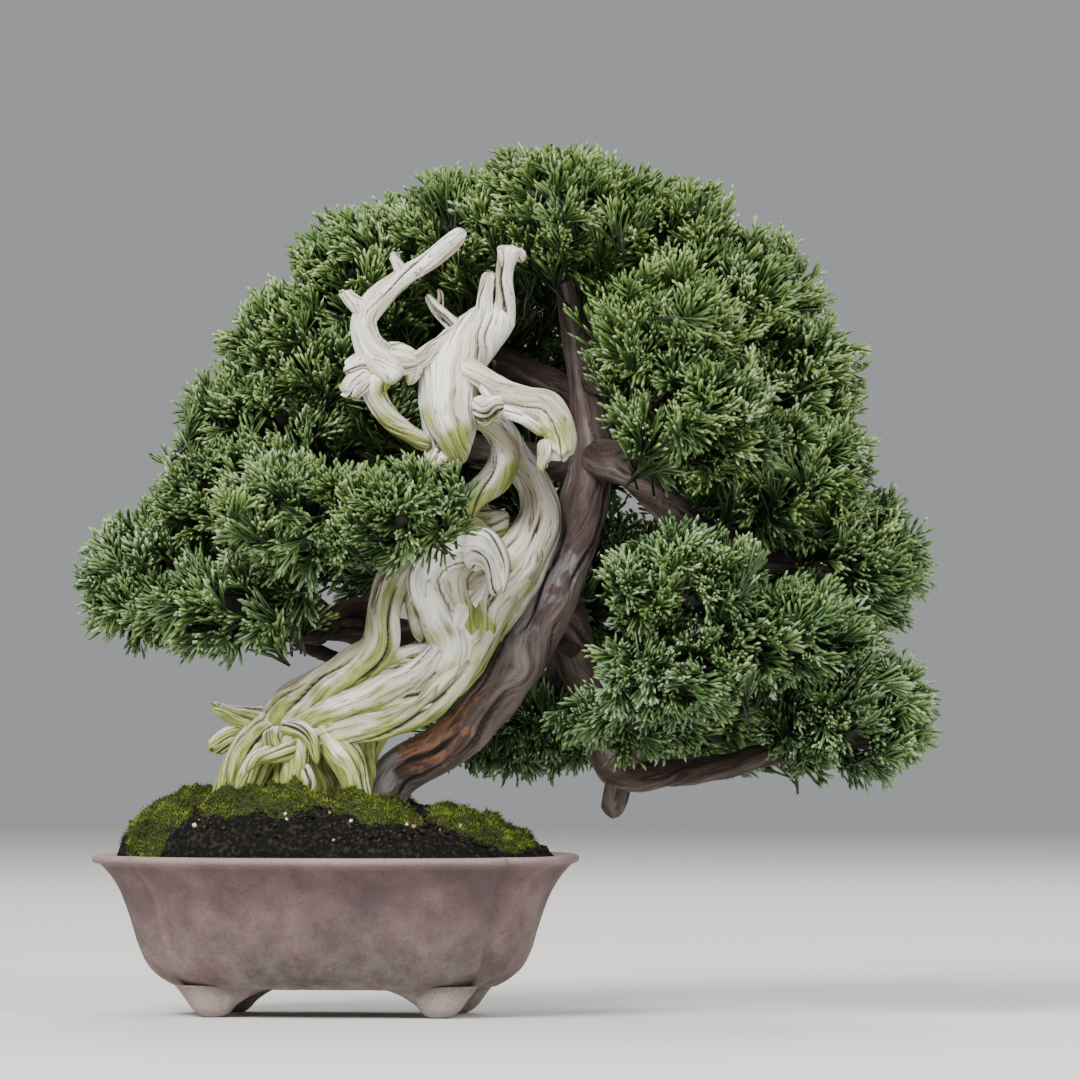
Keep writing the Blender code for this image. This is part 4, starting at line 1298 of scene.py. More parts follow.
@dataclass
class Cords:
    """Many thin tapering cords, each a row of the same arrays, in millimetres.

    Attributes:
        base: Where each starts.
        way: Its unit direction.
        curl: The unit direction that it bends towards.
        length: Its length.
        radius: Its half width.
        old: How far its base is from the growing tip, 0 at the twig to 1.
        young: The same at its tip.
        tone: Which colour family it has, from 0 to 1.
    """

    base: Array
    way: Array
    curl: Array
    length: Array
    radius: Array
    old: Array
    young: Array
    tone: Array

    def at(self, share: Array) -> tuple[Array, Array]:
        """Places and directions at a share of each cord's length.

        The centre line is base + way * L * t + curl * bend * L * t^2.

        Args:
            share: One share for each cord.

        Returns:
            The places and the unit directions there.
        """
        t, length = share[:, None], self.length[:, None]
        place = self.base + self.way * length * t + self.curl * BEND * length * t * t
        return place, unit(self.way + self.curl * (2 * BEND) * t)

    def pick(self, rows: Array) -> "Cords":
        """The cords with these numbers."""
        return Cords(*(getattr(self, name)[rows] for name in self.__dataclass_fields__))

    def surface(self, stations: tuple[float, ...], sides: int = 3) -> Surface:
        """Makes each cord a closed blunt spindle.

        At each station a ring of points stands round the centre line, at the
        cord's radius times a profile that is fullest just short of the tip.
        Poles close both ends.

        Args:
            stations: Shares of the length that have a ring.
            sides: Points in a ring.

        Returns:
            The cords' surface with age and tone attributes.
        """
        count, rings = len(self.base), len(stations)
        across = unit(np.cross(self.way, self.curl + (0.013, 0.007, 0.011)))
        up = np.cross(across, self.way)
        angle = 2 * np.pi * np.arange(sides) / sides
        around = across[:, None] * np.cos(angle)[:, None] + up[:, None] * np.sin(angle)[:, None]
        profile = np.interp(stations, (0.0, 0.5, 0.9, 1.0), (0.7, 0.9, 1.05, 0.6))
        points = np.empty((count, rings * sides + 2, 3))
        age = np.empty((count, rings * sides + 2))
        for ring, (share, size) in enumerate(zip(stations, profile)):
            place = self.at(np.full(count, share))[0]
            held = slice(ring * sides, (ring + 1) * sides)
            points[:, held] = place[:, None] + around * (self.radius * size)[:, None, None]
            age[:, held] = (self.old + (self.young - self.old) * share)[:, None]
        points[:, -2], age[:, -2] = self.base, self.old
        points[:, -1], age[:, -1] = self.at(np.ones(count))[0], self.young
        ring0 = np.arange(sides)
        one = np.vstack(
            [
                grid_faces(rings, sides),
                fan_faces(ring0, rings * sides, True),
                fan_faces(ring0 + (rings - 1) * sides, rings * sides + 1, False),
            ]
        )
        faces = (one + (np.arange(count) * (rings * sides + 2))[:, None, None]).reshape(-1, 4)
        tone = np.repeat(self.tone, rings * sides + 2)
        return Surface(points.reshape(-1, 3), faces, {"age": age.ravel(), "tone": tone})


def turned(way: Array, side: Array, angle: Array) -> Array:
    """Directions turned from way towards side: way * cos(angle) + side * sin(angle)."""
    return unit(way * np.cos(angle)[:, None] + side * np.sin(angle)[:, None])


def sideways(way: Array, rng: np.random.Generator) -> Array:
    """A random unit direction square to each given one."""
    loose = rng.normal(size=way.shape)
    return unit(loose - way * (loose * way).sum(-1, keepdims=True))


@dataclass
class Foliage(Assembly):
    """Clouds of scale foliage: tufts of forked sprays over each pad of twigs.

    Lengths are in millimetres, angles in radians.

    Attributes:
        finish: The foliage's material.
        pads: The CAD pads' names.
        heart: The place that the whole crown grows away from.
        tuft_spacing: The least distance between tufts.
        sprays_per_tuft: How many sprays fan out of a tuft.
        spray_length: A spray's middle length.
        cord_radius: Half the width of a scale-covered cord.
        core_share: Size of the dark mass of painted shade inside a pad, as a share of the pad's.
        fan: The widest angle between a spray and its tuft's axis.
        reach: How far inside the pad's face a tip may end, least and most.
        margin: How far inside the crown's box every tip stays.
        tip_cord: What a side cord's length starts from.
        side_cords: How many cords leave each spray.
        small_cords: How many leave each of those.
        side_angle: The middle angle at which a cord leaves.
        seed: Places the tufts of the first pad.
    """

    finish: Growth
    pads: Sequence[str]
    heart: tuple[float, float, float] = (72.0, 22.0, 105.0)
    tuft_spacing: float = 8.4
    sprays_per_tuft: int = 4
    spray_length: float = 15.0
    cord_radius: float = 0.66
    core_share: float = 0.4
    fan: float = 0.58
    reach: tuple[float, float] = (-2.5, 5.5)
    margin: float = 3.2
    tip_cord: float = 2.6
    side_cords: int = 6
    small_cords: int = 1
    side_angle: float = 0.58
    seed: int = 9000

    def __post_init__(self) -> None:
        """Notes the box that the CAD pads fill, which the sprays keep to."""
        lows, highs = zip(*(self.layout_box(name) for name in self.pads))
        self.box_low, self.box_high = np.min(lows, axis=0), np.max(highs, axis=0)

    def outer_faces(self, node: bpy.types.Object) -> tuple[Array, Array, Array]:
        """Reads a CAD pad's triangles, leaving out the flat seams between pads.

        A seam is a plane that holds three triangles or more.

        Args:
            node: The CAD pad.

        Returns:
            Corners, unit normals and areas of the outer triangles, in layout
            millimetres.
        """
        mesh = node.data
        mesh.calc_loop_triangles()
        places = np.empty(len(mesh.vertices) * 3, np.float32)
        mesh.vertices.foreach_get("co", places)
        index = np.empty(len(mesh.loop_triangles) * 3, np.int32)
        mesh.loop_triangles.foreach_get("vertices", index)
        places = (places.reshape(-1, 3).astype(float) - self.origin) / MM
        corners = places[index.reshape(-1, 3)]
        cross = np.cross(corners[:, 1] - corners[:, 0], corners[:, 2] - corners[:, 0])
        areas = 0.5 * np.linalg.norm(cross, axis=1)
        normals = unit(cross)
        distance = (normals * corners[:, 0]).sum(-1)
        planes = np.round(np.column_stack([normals * 50, distance * 4])).astype(int)
        _, which, counts = np.unique(planes, axis=0, return_inverse=True, return_counts=True)
        outer = (counts[which.ravel()] < 3) & (areas > 0.01)
        return corners[outer], normals[outer], areas[outer]

    def tufts(self, node: bpy.types.Object, rng: np.random.Generator) -> tuple[Array, Array]:
        """Chooses where the tufts stand on a pad.

        Points are scattered evenly by area, then kept in turn while they are
        at least the tuft spacing from those already kept. A tuft points along
        the face's normal, away from the crown's heart and a little up.

        Args:
            node: The CAD pad.
            rng: The random source.

        Returns:
            Places on the pad's face and the directions the tufts point in.
        """
        corners, normals, areas = self.outer_faces(node)
        tries = int(areas.sum() / self.tuft_spacing**2 * 12) + 20
        chosen = rng.choice(len(areas), tries, p=areas / areas.sum())
        first, second = np.sqrt(rng.random(tries)), rng.random(tries)
        shares = np.stack([1 - first, first * (1 - second), first * second], -1)
        places = (corners[chosen] * shares[..., None]).sum(1)
        apart = self.tuft_spacing * (1.0 + 0.35 * smoothstep(-0.2, -0.8, normals[chosen][:, 2]))
        kept: list[int] = []
        for number in range(tries):
            if not kept or np.linalg.norm(places[kept] - places[number], axis=1).min() > apart[number]:
                kept.append(number)
        places, faced = places[kept], normals[chosen][kept]
        ways = unit(faced * 0.6 + unit(places - self.heart) * 0.65 + np.array((0.0, 0.0, 0.32)))
        ways = unit(ways + rng.normal(scale=0.34, size=ways.shape))
        return places, ways

    def sprays(self, places: Array, ways: Array, tone: float, rng: np.random.Generator) -> tuple[Cords, ...]:
        """Grows the sprays of every tuft, and the twig under each tuft.

        A spray leaves the tuft's axis so far inside that its tip comes near
        the pad's face: base = place - way * (length * cos(spread) + reach). It
        is a cord with side cords on both sides, and shorter cords from those.

        Args:
            places: Where the tufts reach.
            ways: Where they point.
            tone: The pad's colour family.
            rng: The random source.

        Returns:
            The sprays' stems, their side cords, the small cords and the twigs.
        """
        count = len(places)
        sunk = self.spray_length * rng.uniform(1.3, 1.7, count)
        twigs = Cords(
            places - ways * sunk[:, None],
            ways,
            sideways(ways, rng),
            sunk - 0.45 * self.spray_length,
            np.full(count, 0.8),
            np.zeros(count),
            np.full(count, 0.12),
            np.zeros(count),
        )
        owner = np.repeat(np.arange(count), self.sprays_per_tuft)
        total = len(owner)
        spread = self.fan * np.sqrt(rng.random(total))
        axis = ways[owner]
        way = turned(axis, sideways(axis, rng), spread)
        length = self.spray_length * rng.uniform(0.8, 1.2, total)
        reach = rng.uniform(*self.reach, total)
        base = places[owner] - axis * (length * np.cos(spread) + reach)[:, None]
        tip = base + way * length[:, None]
        outside = np.maximum(tip - self.box_high, self.box_low - tip).max(-1)
        base = base - axis * np.clip(outside + self.margin, 0.0, None)[:, None]
        # Tufts and sprays differ in tone, and tips that end deeper inside the pad are darker: partly older
        # growth, partly painted shade.
        tones = tone + rng.normal(scale=0.14, size=count)[owner] + rng.normal(scale=0.08, size=total)
        vigour_and_depth_shade = np.clip(0.86 - 0.035 * reach + rng.normal(scale=0.08, size=total), 0.4, 1.0)
        rise = unit(sideways(way, rng) + (0.0, 0.0, 0.5))
        main = Cords(
            base, way, rise, length, self.cord_radius * rng.uniform(0.85, 1.1, total), np.full(total, 0.08),
            vigour_and_depth_shade, np.clip(tones, 0, 1),
        )
        side = self.fork(main, self.side_cords, (0.18, 0.9), rng)
        small = self.fork(side, self.small_cords, (0.25, 0.75), rng)
        return main, side, small, twigs

    def fork(self, parent: Cords, number: int, span: tuple[float, float], rng: np.random.Generator) -> Cords:
        """Grows shorter cords from both sides of each cord.

        A fork is as long as what is left of its parent, so that all the tips
        end at one front, and it bends back beside its parent.

        Args:
            parent: The cords that fork.
            number: How many forks each has.
            span: The shares of its length between which they leave.
            rng: The random source.

        Returns:
            The forks.
        """
        owner = np.repeat(np.arange(len(parent.base)), number)
        rank = np.tile(np.arange(number), len(parent.base))
        total = len(owner)
        held = parent.pick(owner)
        along = span[0] + (span[1] - span[0]) * (rank + rng.uniform(0.1, 0.9, total)) / number
        base, way = held.at(along)
        plane = unit(np.cross(held.way, held.curl))
        sense = np.where((rank + owner) % 2 == 0, 1.0, -1.0)
        lean = unit(plane * sense[:, None] + held.curl * rng.normal(scale=0.45, size=total)[:, None])
        angle = self.side_angle * rng.uniform(0.75, 1.3, total)
        length = held.length * (1.0 - along) * rng.uniform(0.65, 0.95, total)
        length = length + self.tip_cord * rng.uniform(0.6, 1.3, total)
        begun = held.old + (held.young - held.old) * along
        tip = np.clip(held.young + rng.normal(scale=0.08, size=total), 0.35, 1.0)
        return Cords(
            base, turned(way, lean, angle), unit(way - lean * 0.9), length, held.radius * 0.98, begun,
            np.maximum(begun, tip), held.tone,
        )

    def core(self, node: bpy.types.Object, rng: np.random.Generator) -> Surface:
        """A dark mass inside a pad that stands for the shade deep in the foliage: painted shade.

        It is an oval drawn in to a share of the pad's box, with noise on its
        radius: middle + half size * (sin a cos b, sin a sin b, cos a) * swell.

        Args:
            node: The CAD pad.
            rng: The random source.

        Returns:
            A closed surface, coloured dark as painted shade.
        """
        low, high = self.layout_box(node.name)
        down = np.linspace(np.pi - 0.15, 0.15, 13)[:, None]
        turn = np.linspace(0, 2 * np.pi, 24, endpoint=False)
        out = np.sin(down)
        ways = np.stack([out * np.cos(turn), out * np.sin(turn), np.cos(down) + 0 * turn], -1)
        points = (low + high) / 2 + ways * (high - low) / 2 * self.core_share
        points = points + ways * (1.8 * wave_noise(points, 9.0, int(rng.integers(1000))))[..., None]
        # Painted shade: the darkest colour of the foliage.
        every = np.ones(points.shape[:2])
        return closed_grid(points, {"age": 0.04 * every, "tone": 0.5 * every})

    def build(self) -> None:
        """Builds one piece for each pad."""
        material = self.finish.build()
        top = max(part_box(name)[1].z for name in self.pads)
        for number, name in enumerate(self.pads):
            node = bpy.data.objects[name]
            rng = np.random.default_rng(self.seed + number)
            places, ways = self.tufts(node, rng)
            low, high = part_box(name)
            tone = float(np.clip(0.15 + 0.85 * (low.z + high.z) / 2 / top, 0, 1))
            main, side, small, twigs = self.sprays(places, ways, tone, rng)
            surface = join(
                [
                    main.surface((0.0, 0.5, 0.94)),
                    side.surface((0.0, 0.9)),
                    small.surface((0.8,)),
                    twigs.surface((0.0, 0.6)),
                    # The pad's dark mass of painted shade.
                    self.core(node, rng),
                ]
            )
            self.place(f"{name}_sprays", surface, material, Slot.FOLIAGE, [name])


@dataclass(frozen=True)
class PotShape:
    """The clay pot's sizes in millimetres, and its turn against the tree in radians.

    Attributes:
        length: Its length over the rim.
        depth: Its depth over the rim.
        height: Its height over all.
        foot: How far its feet lift it.
        wall: The wall's thickness.
        floor: The floor's thickness.
        lip_height: The rolled lip's height.
        lip_reach: How far the lip stands out from the wall.
        flare: How far the wall flares out under the lip.
        flare_length: The height over which most of the flare happens.
        slope: How much the wall leans out for each millimetre of height.
        base_round: How far it turns in at the base.
        crease_depth: Depth of the creases between its lobes.
        crease_width: How far a crease reaches either side.
        power: Squareness of the outline, where 2 is an oval.
        turn: Its turn about the upright, anticlockwise seen from above.
    """

    length: float = 172.0
    depth: float = 124.0
    height: float = 57.0
    foot: float = 10.0
    wall: float = 6.5
    floor: float = 7.0
    lip_height: float = 3.0
    lip_reach: float = 1.4
    flare: float = 6.4
    flare_length: float = 7.0
    slope: float = 0.27
    base_round: float = 10.0
    crease_depth: float = 3.5
    crease_width: float = 7.0
    power: float = 2.6
    turn: float = -0.1309

    @property
    def base_inset(self) -> float:
        """How far in the bottom edge of the wall stands from the rim."""
        return self.lip_reach + self.flare + self.slope * (self.height - self.foot) + self.base_round

    def wall_inset(self, z: Array) -> Array:
        """How far in the wall stands from the rim at a height.

        It flares by f(1 - e^(-d/l)) under the lip, leans by a steady slope,
        and turns in at the base by the tenth power of the share gone down.

        Args:
            z: Heights over what the pot stands on.

        Returns:
            The distance in at each height.
        """
        below = np.maximum(0.0, self.height - z)
        flare = self.flare * (1 - np.exp(-np.maximum(0.0, below - self.lip_height) / self.flare_length))
        turned_in = self.base_round * (below / (self.height - self.foot)) ** 10
        return self.lip_reach + flare + self.slope * below + turned_in

    def turned(self, surface: Surface) -> Surface:
        """Turns a surface with the pot about its upright middle.

        Args:
            surface: What stands in or on the pot.

        Returns:
            The turned surface.
        """
        c, s = np.cos(self.turn), np.sin(self.turn)
        spin = np.array(((c, -s, 0.0), (s, c, 0.0), (0.0, 0.0, 1.0)))
        return Surface(surface.points @ spin.T, surface.faces, surface.values)

    def outline(self, turns: Array, inset: Array, z: Array, groove: Array) -> Array:
        """The four-lobed outline at a height, as rows of x, y and z.

        A full oval |x/a|^p + |y/b|^p = 1, drawn in towards the middle by a
        groove that fades exponentially either side of each crease.

        Args:
            turns: Angle parameters, one for each column.
            inset: How far in each row stands, rows by 1.
            z: The height of each row, rows by 1.
            groove: The depth of the creases in each row, rows by 1.

        Returns:
            Points, rows by columns by 3.
        """
        c, s = np.cos(turns), np.sin(turns)
        x = (self.length / 2 - inset) * np.abs(c) ** (2 / self.power) * np.sign(c)
        y = (self.depth / 2 - inset) * np.abs(s) ** (2 / self.power) * np.sign(s)
        up = np.clip((z - self.foot) / (self.height - self.foot), 0.0, 1.0)
        crease = np.radians(31 + 9 * up)
        fold = turns % np.pi
        around = np.minimum(np.abs(fold - crease), np.abs(fold - (np.pi - crease)))
        drawn = groove * np.exp(-around * (self.length / 2 - inset) / self.crease_width * 1.4)
        share = 1 - drawn / np.maximum(np.hypot(x, y), 1.0)
        return np.stack([x * share, y * share, np.broadcast_to(z, x.shape) - self.height], -1)


@dataclass
class ClayPot(Assembly):
    """The mould-pressed clay pot on its four cloud feet. Sizes are in millimetres.

    Attributes:
        finish: The clay's material.
        shape: The pot's sizes.
        columns: Points round the body.
        foot_columns: Points round a foot.
        foot_rows: Points down a foot.
        toe_radius: Radius of a foot's rounded toe.
        foot_middle: How far a foot spreads at its top in every direction.
        long_arm: How much farther it reaches along the pot.
        short_arm: How much farther it reaches across the pot.
        heel: How much farther it reaches outwards.
        seed: Chooses the clay's unevenness.
    """

    finish: UnglazedClay
    shape: PotShape
    columns: int = 480
    foot_columns: int = 84
    foot_rows: int = 22
    toe_radius: float = 6.3
    foot_middle: float = 7.5
    long_arm: float = 17.5
    short_arm: float = 13.0
    heel: float = 6.5
    seed: int = 61

    def body(self) -> Surface:
        """The pot's wall, inside and out, with its rolled lip.

        Rows of the outline run from the middle of the underside, out over the
        foot ring, up the wall, round the lip and down inside to the floor.

        Returns:
            A closed surface.
        """
        shape = self.shape
        lip_low = shape.height - shape.lip_height
        roll = 0.5 * shape.lip_height
        low_wall = np.linspace(shape.foot + 0.5, shape.foot + 7, 16)
        wall = np.concatenate([low_wall, np.linspace(shape.foot + 9, lip_low - 0.5, 36)])
        lip = np.linspace(-0.42 * np.pi, 0.5 * np.pi, 9)
        lip_z = shape.height - roll + roll * np.sin(lip)
        lip_inset = roll - roll * np.cos(lip)
        inside = np.linspace(shape.height - 1.2, shape.foot + shape.floor, 16)
        rows = [
            (shape.base_inset + 30.0, shape.foot + 0.9, 0.0),
            (shape.base_inset + 12.0, shape.foot + 0.8, 0.5),
            (shape.base_inset + 4.0, shape.foot + 0.5, 1.5),
            (shape.base_inset + 1.2, shape.foot, 3.0),
            (shape.base_inset + 0.3, shape.foot + 0.15, 3.4),
            *zip(shape.wall_inset(wall), wall, np.full(len(wall), shape.crease_depth)),
            (shape.wall_inset(lip_low) - 0.1, lip_low - 0.05, shape.crease_depth),
            *zip(lip_inset, lip_z, np.full(len(lip), shape.crease_depth)),
            (roll + 2.0, shape.height - 0.05, shape.crease_depth),
            (shape.lip_reach + shape.wall - 0.9, shape.height - 0.35, shape.crease_depth),
            *zip(
                np.maximum(shape.wall_inset(inside) + shape.wall, shape.lip_reach + shape.wall - 0.2),
                inside,
                np.full(len(inside), shape.crease_depth),
            ),
            (shape.base_inset + 24.0, shape.foot + shape.floor, 0.0),
        ]
        inset, z, groove = (np.array(column, float)[:, None] for column in zip(*rows))
        turns = np.linspace(0, 2 * np.pi, self.columns, endpoint=False)
        grid = shape.outline(turns, inset, z, groove)
        uneven = 0.25 * wave_noise(grid, 38.0, self.seed) + 0.07 * wave_noise(grid, 9.0, self.seed + 1)
        outwards = unit(grid * (1.0, 1.0, 0.0))
        grid = grid + outwards * uneven[..., None]
        return closed_grid(grid)

    def foot(self, side_x: int, side_y: int) -> Surface:
        """One cloud foot: a rounded toe that flares into an arm along each side.

        Its plan is a lobe of radius r(t) about the toe: a bell curve for each
        arm and a lower one for the corner. Going down, r shrinks to the toe's
        own radius by a power of what is left of the height, high for the arms
        so that they hollow, and the toe's end is a quarter of a circle.

        Args:
            side_x: Which end of the pot it is at, -1 or 1.
            side_y: Which side of the pot it is on, -1 or 1.

        Returns:
            A closed surface.
        """
        shape = self.shape
        turns = np.linspace(0, 2 * np.pi, self.foot_columns, endpoint=False)

        def bell(centre: float, width: float) -> Array:
            """A bell curve of the angle from a direction."""
            return np.exp(-((np.angle(np.exp(1j * (turns - centre))) / width) ** 2))

        arms = self.long_arm * bell(0.06, 0.4) + self.short_arm * bell(np.pi / 2, 0.4)
        top = self.foot_middle + arms + self.heel * bell(np.pi, 0.7)
        down = np.linspace(0.0, 1.0, self.foot_rows)[:, None]
        left = (1.0 - down) ** (1.2 + 1.5 * np.clip(arms / 12.0, 0.0, 1.0))
        radius = self.toe_radius + (top - self.toe_radius) * left
        curl = 1.1 * (bell(-0.62, 0.22) + bell(-0.1, 0.16) + bell(2.4, 0.3))
        radius = radius + curl * np.exp(-(((down - 0.45) / 0.2) ** 2))
        radius = radius * np.sqrt(1.0 - 0.75 * np.clip((down - 0.68) / 0.32, 0.0, 1.0) ** 2)
        height = (shape.foot + 1.2) * (1.0 - down)
        centre_x = shape.length / 2 - shape.base_inset - 15.5
        centre_y = shape.depth / 2 - shape.base_inset - 9.0
        x = side_x * (centre_x - radius * np.cos(turns))
        y = side_y * (centre_y - radius * np.sin(turns) * 0.9)
        grid = np.stack([x, y, np.broadcast_to(height, x.shape) - shape.height], -1)
        if side_x * side_y < 0:
            grid = grid[:, ::-1]
        return closed_grid(grid[::-1])

    def build(self) -> None:
        """Builds the pot."""
        feet = [self.foot(side_x, side_y) for side_x in (-1, 1) for side_y in (-1, 1)]
        surface = self.shape.turned(join([self.body(), *feet]))
        self.place("pressed_clay_pot", surface, self.finish.build(), Slot.CLAY, ["pot"])


@dataclass
class Ground(Assembly):
    """The soil mound and the moss on it. Sizes are in millimetres.

    Attributes:
        soil_finish: The soil's material.
        litter_finish: The material of the crumbs and rootlets.
        moss_finish: The moss's material.
        shape: The pot's sizes.
        below_rim: How far the soil's edge is below the rim.
        rise: The mound's height.
        moss_thickness: How thick the moss is.
        litter_inset: How far inside the rim the crumbs end.
        cushions: Middle and half sizes of each CAD moss cushion.
        spikes_per_square_mm: How many moss shoots there are.
        crumbs: How many crumbs lie on the soil.
        rootlets: How many rootlets do.
        soil_seed: Chooses the soil's unevenness.
        shoot_seed: Chooses the patches of the moss's colour.
        cushion_seed: Chooses the first cushion's lumps.
    """

    soil_finish: Mottled
    litter_finish: Growth
    moss_finish: Growth
    shape: PotShape
    below_rim: float = 1.5
    rise: float = 23.0
    moss_thickness: float = 3.4
    litter_inset: float = 9.5
    cushions: dict[str, tuple[tuple[float, float], tuple[float, float]]] = field(
        default_factory=lambda: {
            "moss_left": ((-57, -8), (17, 33)),
            "moss_front_left": ((-21, -33), (22, 12)),
            "moss_front_middle": ((16, -30), (19, 13)),
            "moss_right": ((53, -8), (19, 28)),
            "moss_back": ((-8, 30), (36, 15)),
        }
    )
    spikes_per_square_mm: float = 2.3
    crumbs: int = 4600
    rootlets: int = 70
    soil_seed: int = 71
    shoot_seed: int = 81
    cushion_seed: int = 90

    def height(self, x: Array, y: Array) -> Array:
        """The mound's height at a place, from the rim's plane.

        The dome (1 - out^p)^0.75 of the distance out to the pot's wall, with p
        higher at the left end so that it is steeper there, falling away to the
        right, with ripples.

        Args:
            x: Distance to the right of the pot's middle.
            y: Distance behind it.

        Returns:
            Heights.
        """
        reach = self.shape.lip_reach + self.shape.wall + 0.5
        along = x / (self.shape.length / 2 - reach)
        across = y / (self.shape.depth / 2 - reach)
        out = np.minimum(1.0, (np.abs(along) ** 2.6 + np.abs(across) ** 2.6) ** (1 / 2.6))
        left = 0.93 + 0.07 * np.cos(3.5 * along)
        fall = 1.0 - 0.42 * np.maximum(0.0, along + 0.1) ** 1.2
        ripple = 0.04 * np.sin(x * 0.22 + 1.0) * np.cos(y * 0.27)
        dome = (1.0 - out ** (4.7 - 1.3 * np.tanh(3.0 * along))) ** 0.75
        return self.rise * dome * (left * fall + ripple) - self.below_rim

    def soil(self) -> Surface:
        """The soil: the pot's outline shrunk towards the middle, on the mound.

        Crumbs are noise of three sizes added to its height.

        Returns:
            A closed surface.
        """
        shape = self.shape
        turns = np.linspace(0, 2 * np.pi, 300, endpoint=False)

        def inside(inset: float, z: float) -> Array:
            """One row of the pot's outline, just inside its wall."""
            row = (np.full((1, 1), value) for value in (inset + shape.wall + 0.6, z, shape.crease_depth))
            return shape.outline(turns, *row)

        rim = inside(shape.lip_reach, shape.height - self.below_rim)[0, :, :2]
        share = np.linspace(0.02, 1.0, 120)[::-1][:, None, None]
        flat = rim * share
        x, y = flat[..., 0], flat[..., 1]
        z = self.height(x, y)
        spots = np.stack([x, y, z], -1)
        seed = self.soil_seed
        crumbs = 0.6 * wave_noise(spots, 7.0, seed) + 0.4 * wave_noise(spots, 3.0, seed + 1)
        crumbs += 0.35 * np.abs(wave_noise(spots, 1.9, seed + 2))
        z = z + crumbs * smoothstep(1.0, 0.96, share[..., 0])
        top = np.stack([x, y, z], -1)
        deep = shape.height - 12.0
        side = inside(float(shape.wall_inset(np.array(deep))), deep)
        return closed_grid(np.concatenate([side, top]))

    def cushion(self, middle: tuple[float, float], half: tuple[float, float], seed: int) -> Surface:
        """The body of a moss cushion: a lumpy dome on the mound.

        Args:
            middle: Its middle.
            half: Its half sizes.
            seed: Chooses its lumps.

        Returns:
            A closed surface, dark, with age and tone attributes.
        """
        turns = np.linspace(0, 2 * np.pi, 96, endpoint=False)
        share = np.linspace(0.03, 1.0, 36)[::-1][:, None]
        wobble = 1.0 + 0.09 * np.sin(3 * turns + middle[0]) + 0.06 * np.cos(5 * turns + middle[1])
        wobble = wobble + (0.05 * np.sin(8 * turns + seed) + 0.02 * np.sin(15 * turns + 2 * seed)) * share
        x = middle[0] + half[0] * share * wobble * np.cos(turns)
        y = middle[1] + half[1] * share * wobble * np.sin(turns)
        z = self.height(x, y)
        spots = np.stack([x, y, z], -1)
        lumps = 0.85 + 0.55 * wave_noise(spots, 12.0, seed) + 0.35 * wave_noise(spots, 5.5, seed + 1)
        thick = self.moss_thickness * np.sqrt(1.0 - share**2.6) * np.maximum(lumps, 0.1)
        top = np.stack([x, y, z + 0.2 + thick], -1)
        low = np.stack([x[0], y[0], z[0] - 1.5], -1)
        grid = np.concatenate([low[None], top])
        every = np.ones(grid.shape[:2])
        return closed_grid(grid, {"age": 0.18 * every, "tone": 0.5 * every})

    def spikes(self, surface: Surface, rng: np.random.Generator) -> Surface:
        """Moss shoots all over a cushion, as short leaning cords.

        Args:
            surface: The cushion.
            rng: The random source.

        Returns:
            The shoots' surface.
        """
        corners, cross = surface.points[surface.faces], face_normals(surface)
        area = 0.5 * np.linalg.norm(cross, axis=1)
        normal = unit(cross)
        facing = area * (normal[:, 2] > 0.05)
        count = int(facing.sum() * self.spikes_per_square_mm)
        chosen = rng.choice(len(facing), count, p=facing / facing.sum())
        mix = rng.dirichlet((1, 1, 1, 1), count)
        base = (corners[chosen] * mix[..., None]).sum(1)
        way = unit(normal[chosen] + rng.normal(scale=0.5, size=(count, 3)) + (0, 0, 0.4))
        patches = wave_noise(base, 14.0, self.shoot_seed)
        tone = np.clip(0.55 + 0.6 * patches + rng.normal(scale=0.15, size=count), 0, 1)
        young = 0.66 + 0.36 * wave_noise(base, 3.6, self.shoot_seed + 1)
        young = np.clip(young + rng.normal(scale=0.16, size=count), 0.2, 1)
        shoots = Cords(
            base - way * 0.3, way, sideways(way, rng), rng.uniform(1.1, 2.4, count),
            rng.uniform(0.17, 0.3, count), np.full(count, 0.12), young, tone,
        )
        return shoots.surface((0.0,))

    def litter(self, rng: np.random.Generator) -> Surface:
        """Loose crumbs of soil and grit, and rootlets, strewn over the mound.

        A crumb is a double pyramid on four sides. Most are dark, and a few
        are pale chips of pumice or tan bark.

        Args:
            rng: The random source.

        Returns:
            Their surface, with age and tone attributes.
        """
        total = self.crumbs + self.rootlets
        angle, out = rng.uniform(0, 2 * np.pi, total), np.sqrt(rng.uniform(0.2, 0.96, total))
        small = np.arange(total) < self.crumbs
        out = np.where(small, out, 0.82 * out)
        x = out * (self.shape.length / 2 - self.litter_inset) * np.cos(angle)
        y = out * (self.shape.depth / 2 - self.litter_inset) * np.sin(angle)
        base = np.stack([x, y, self.height(x, y) + 0.1], -1)
        way = unit(rng.normal(size=(total, 3)) * np.where(small, 1.0, 0.25)[:, None] + (0, 0, 0.35))
        flat = unit(rng.normal(size=(total, 3)) * (1.0, 1.0, 0.12))
        way = np.where(small[:, None], way, flat)
        radius = np.where(small, rng.gamma(3.0, 0.16, total) + 0.15, rng.uniform(0.12, 0.3, total))
        length = np.where(small, radius * 2.2, rng.uniform(5.0, 14.0, total))
        # Dark soil is youngest, tan bark is 0.7 and white pumice is 1.
        pale = rng.random(total)
        age = np.where(pale > 0.985, 1.0, np.where(pale > 0.95, 0.7, rng.uniform(0.0, 0.42, total)))
        age = np.where(small, age, rng.uniform(0.25, 0.5, total))
        bits = Cords(base, way, sideways(way, rng), length, radius, age, age, np.full(total, 0.5))
        crumbs = bits.pick(np.flatnonzero(small)).surface((0.5,), 4)
        return join([crumbs, bits.pick(np.flatnonzero(~small)).surface((0.0, 0.35, 0.75), 4)])

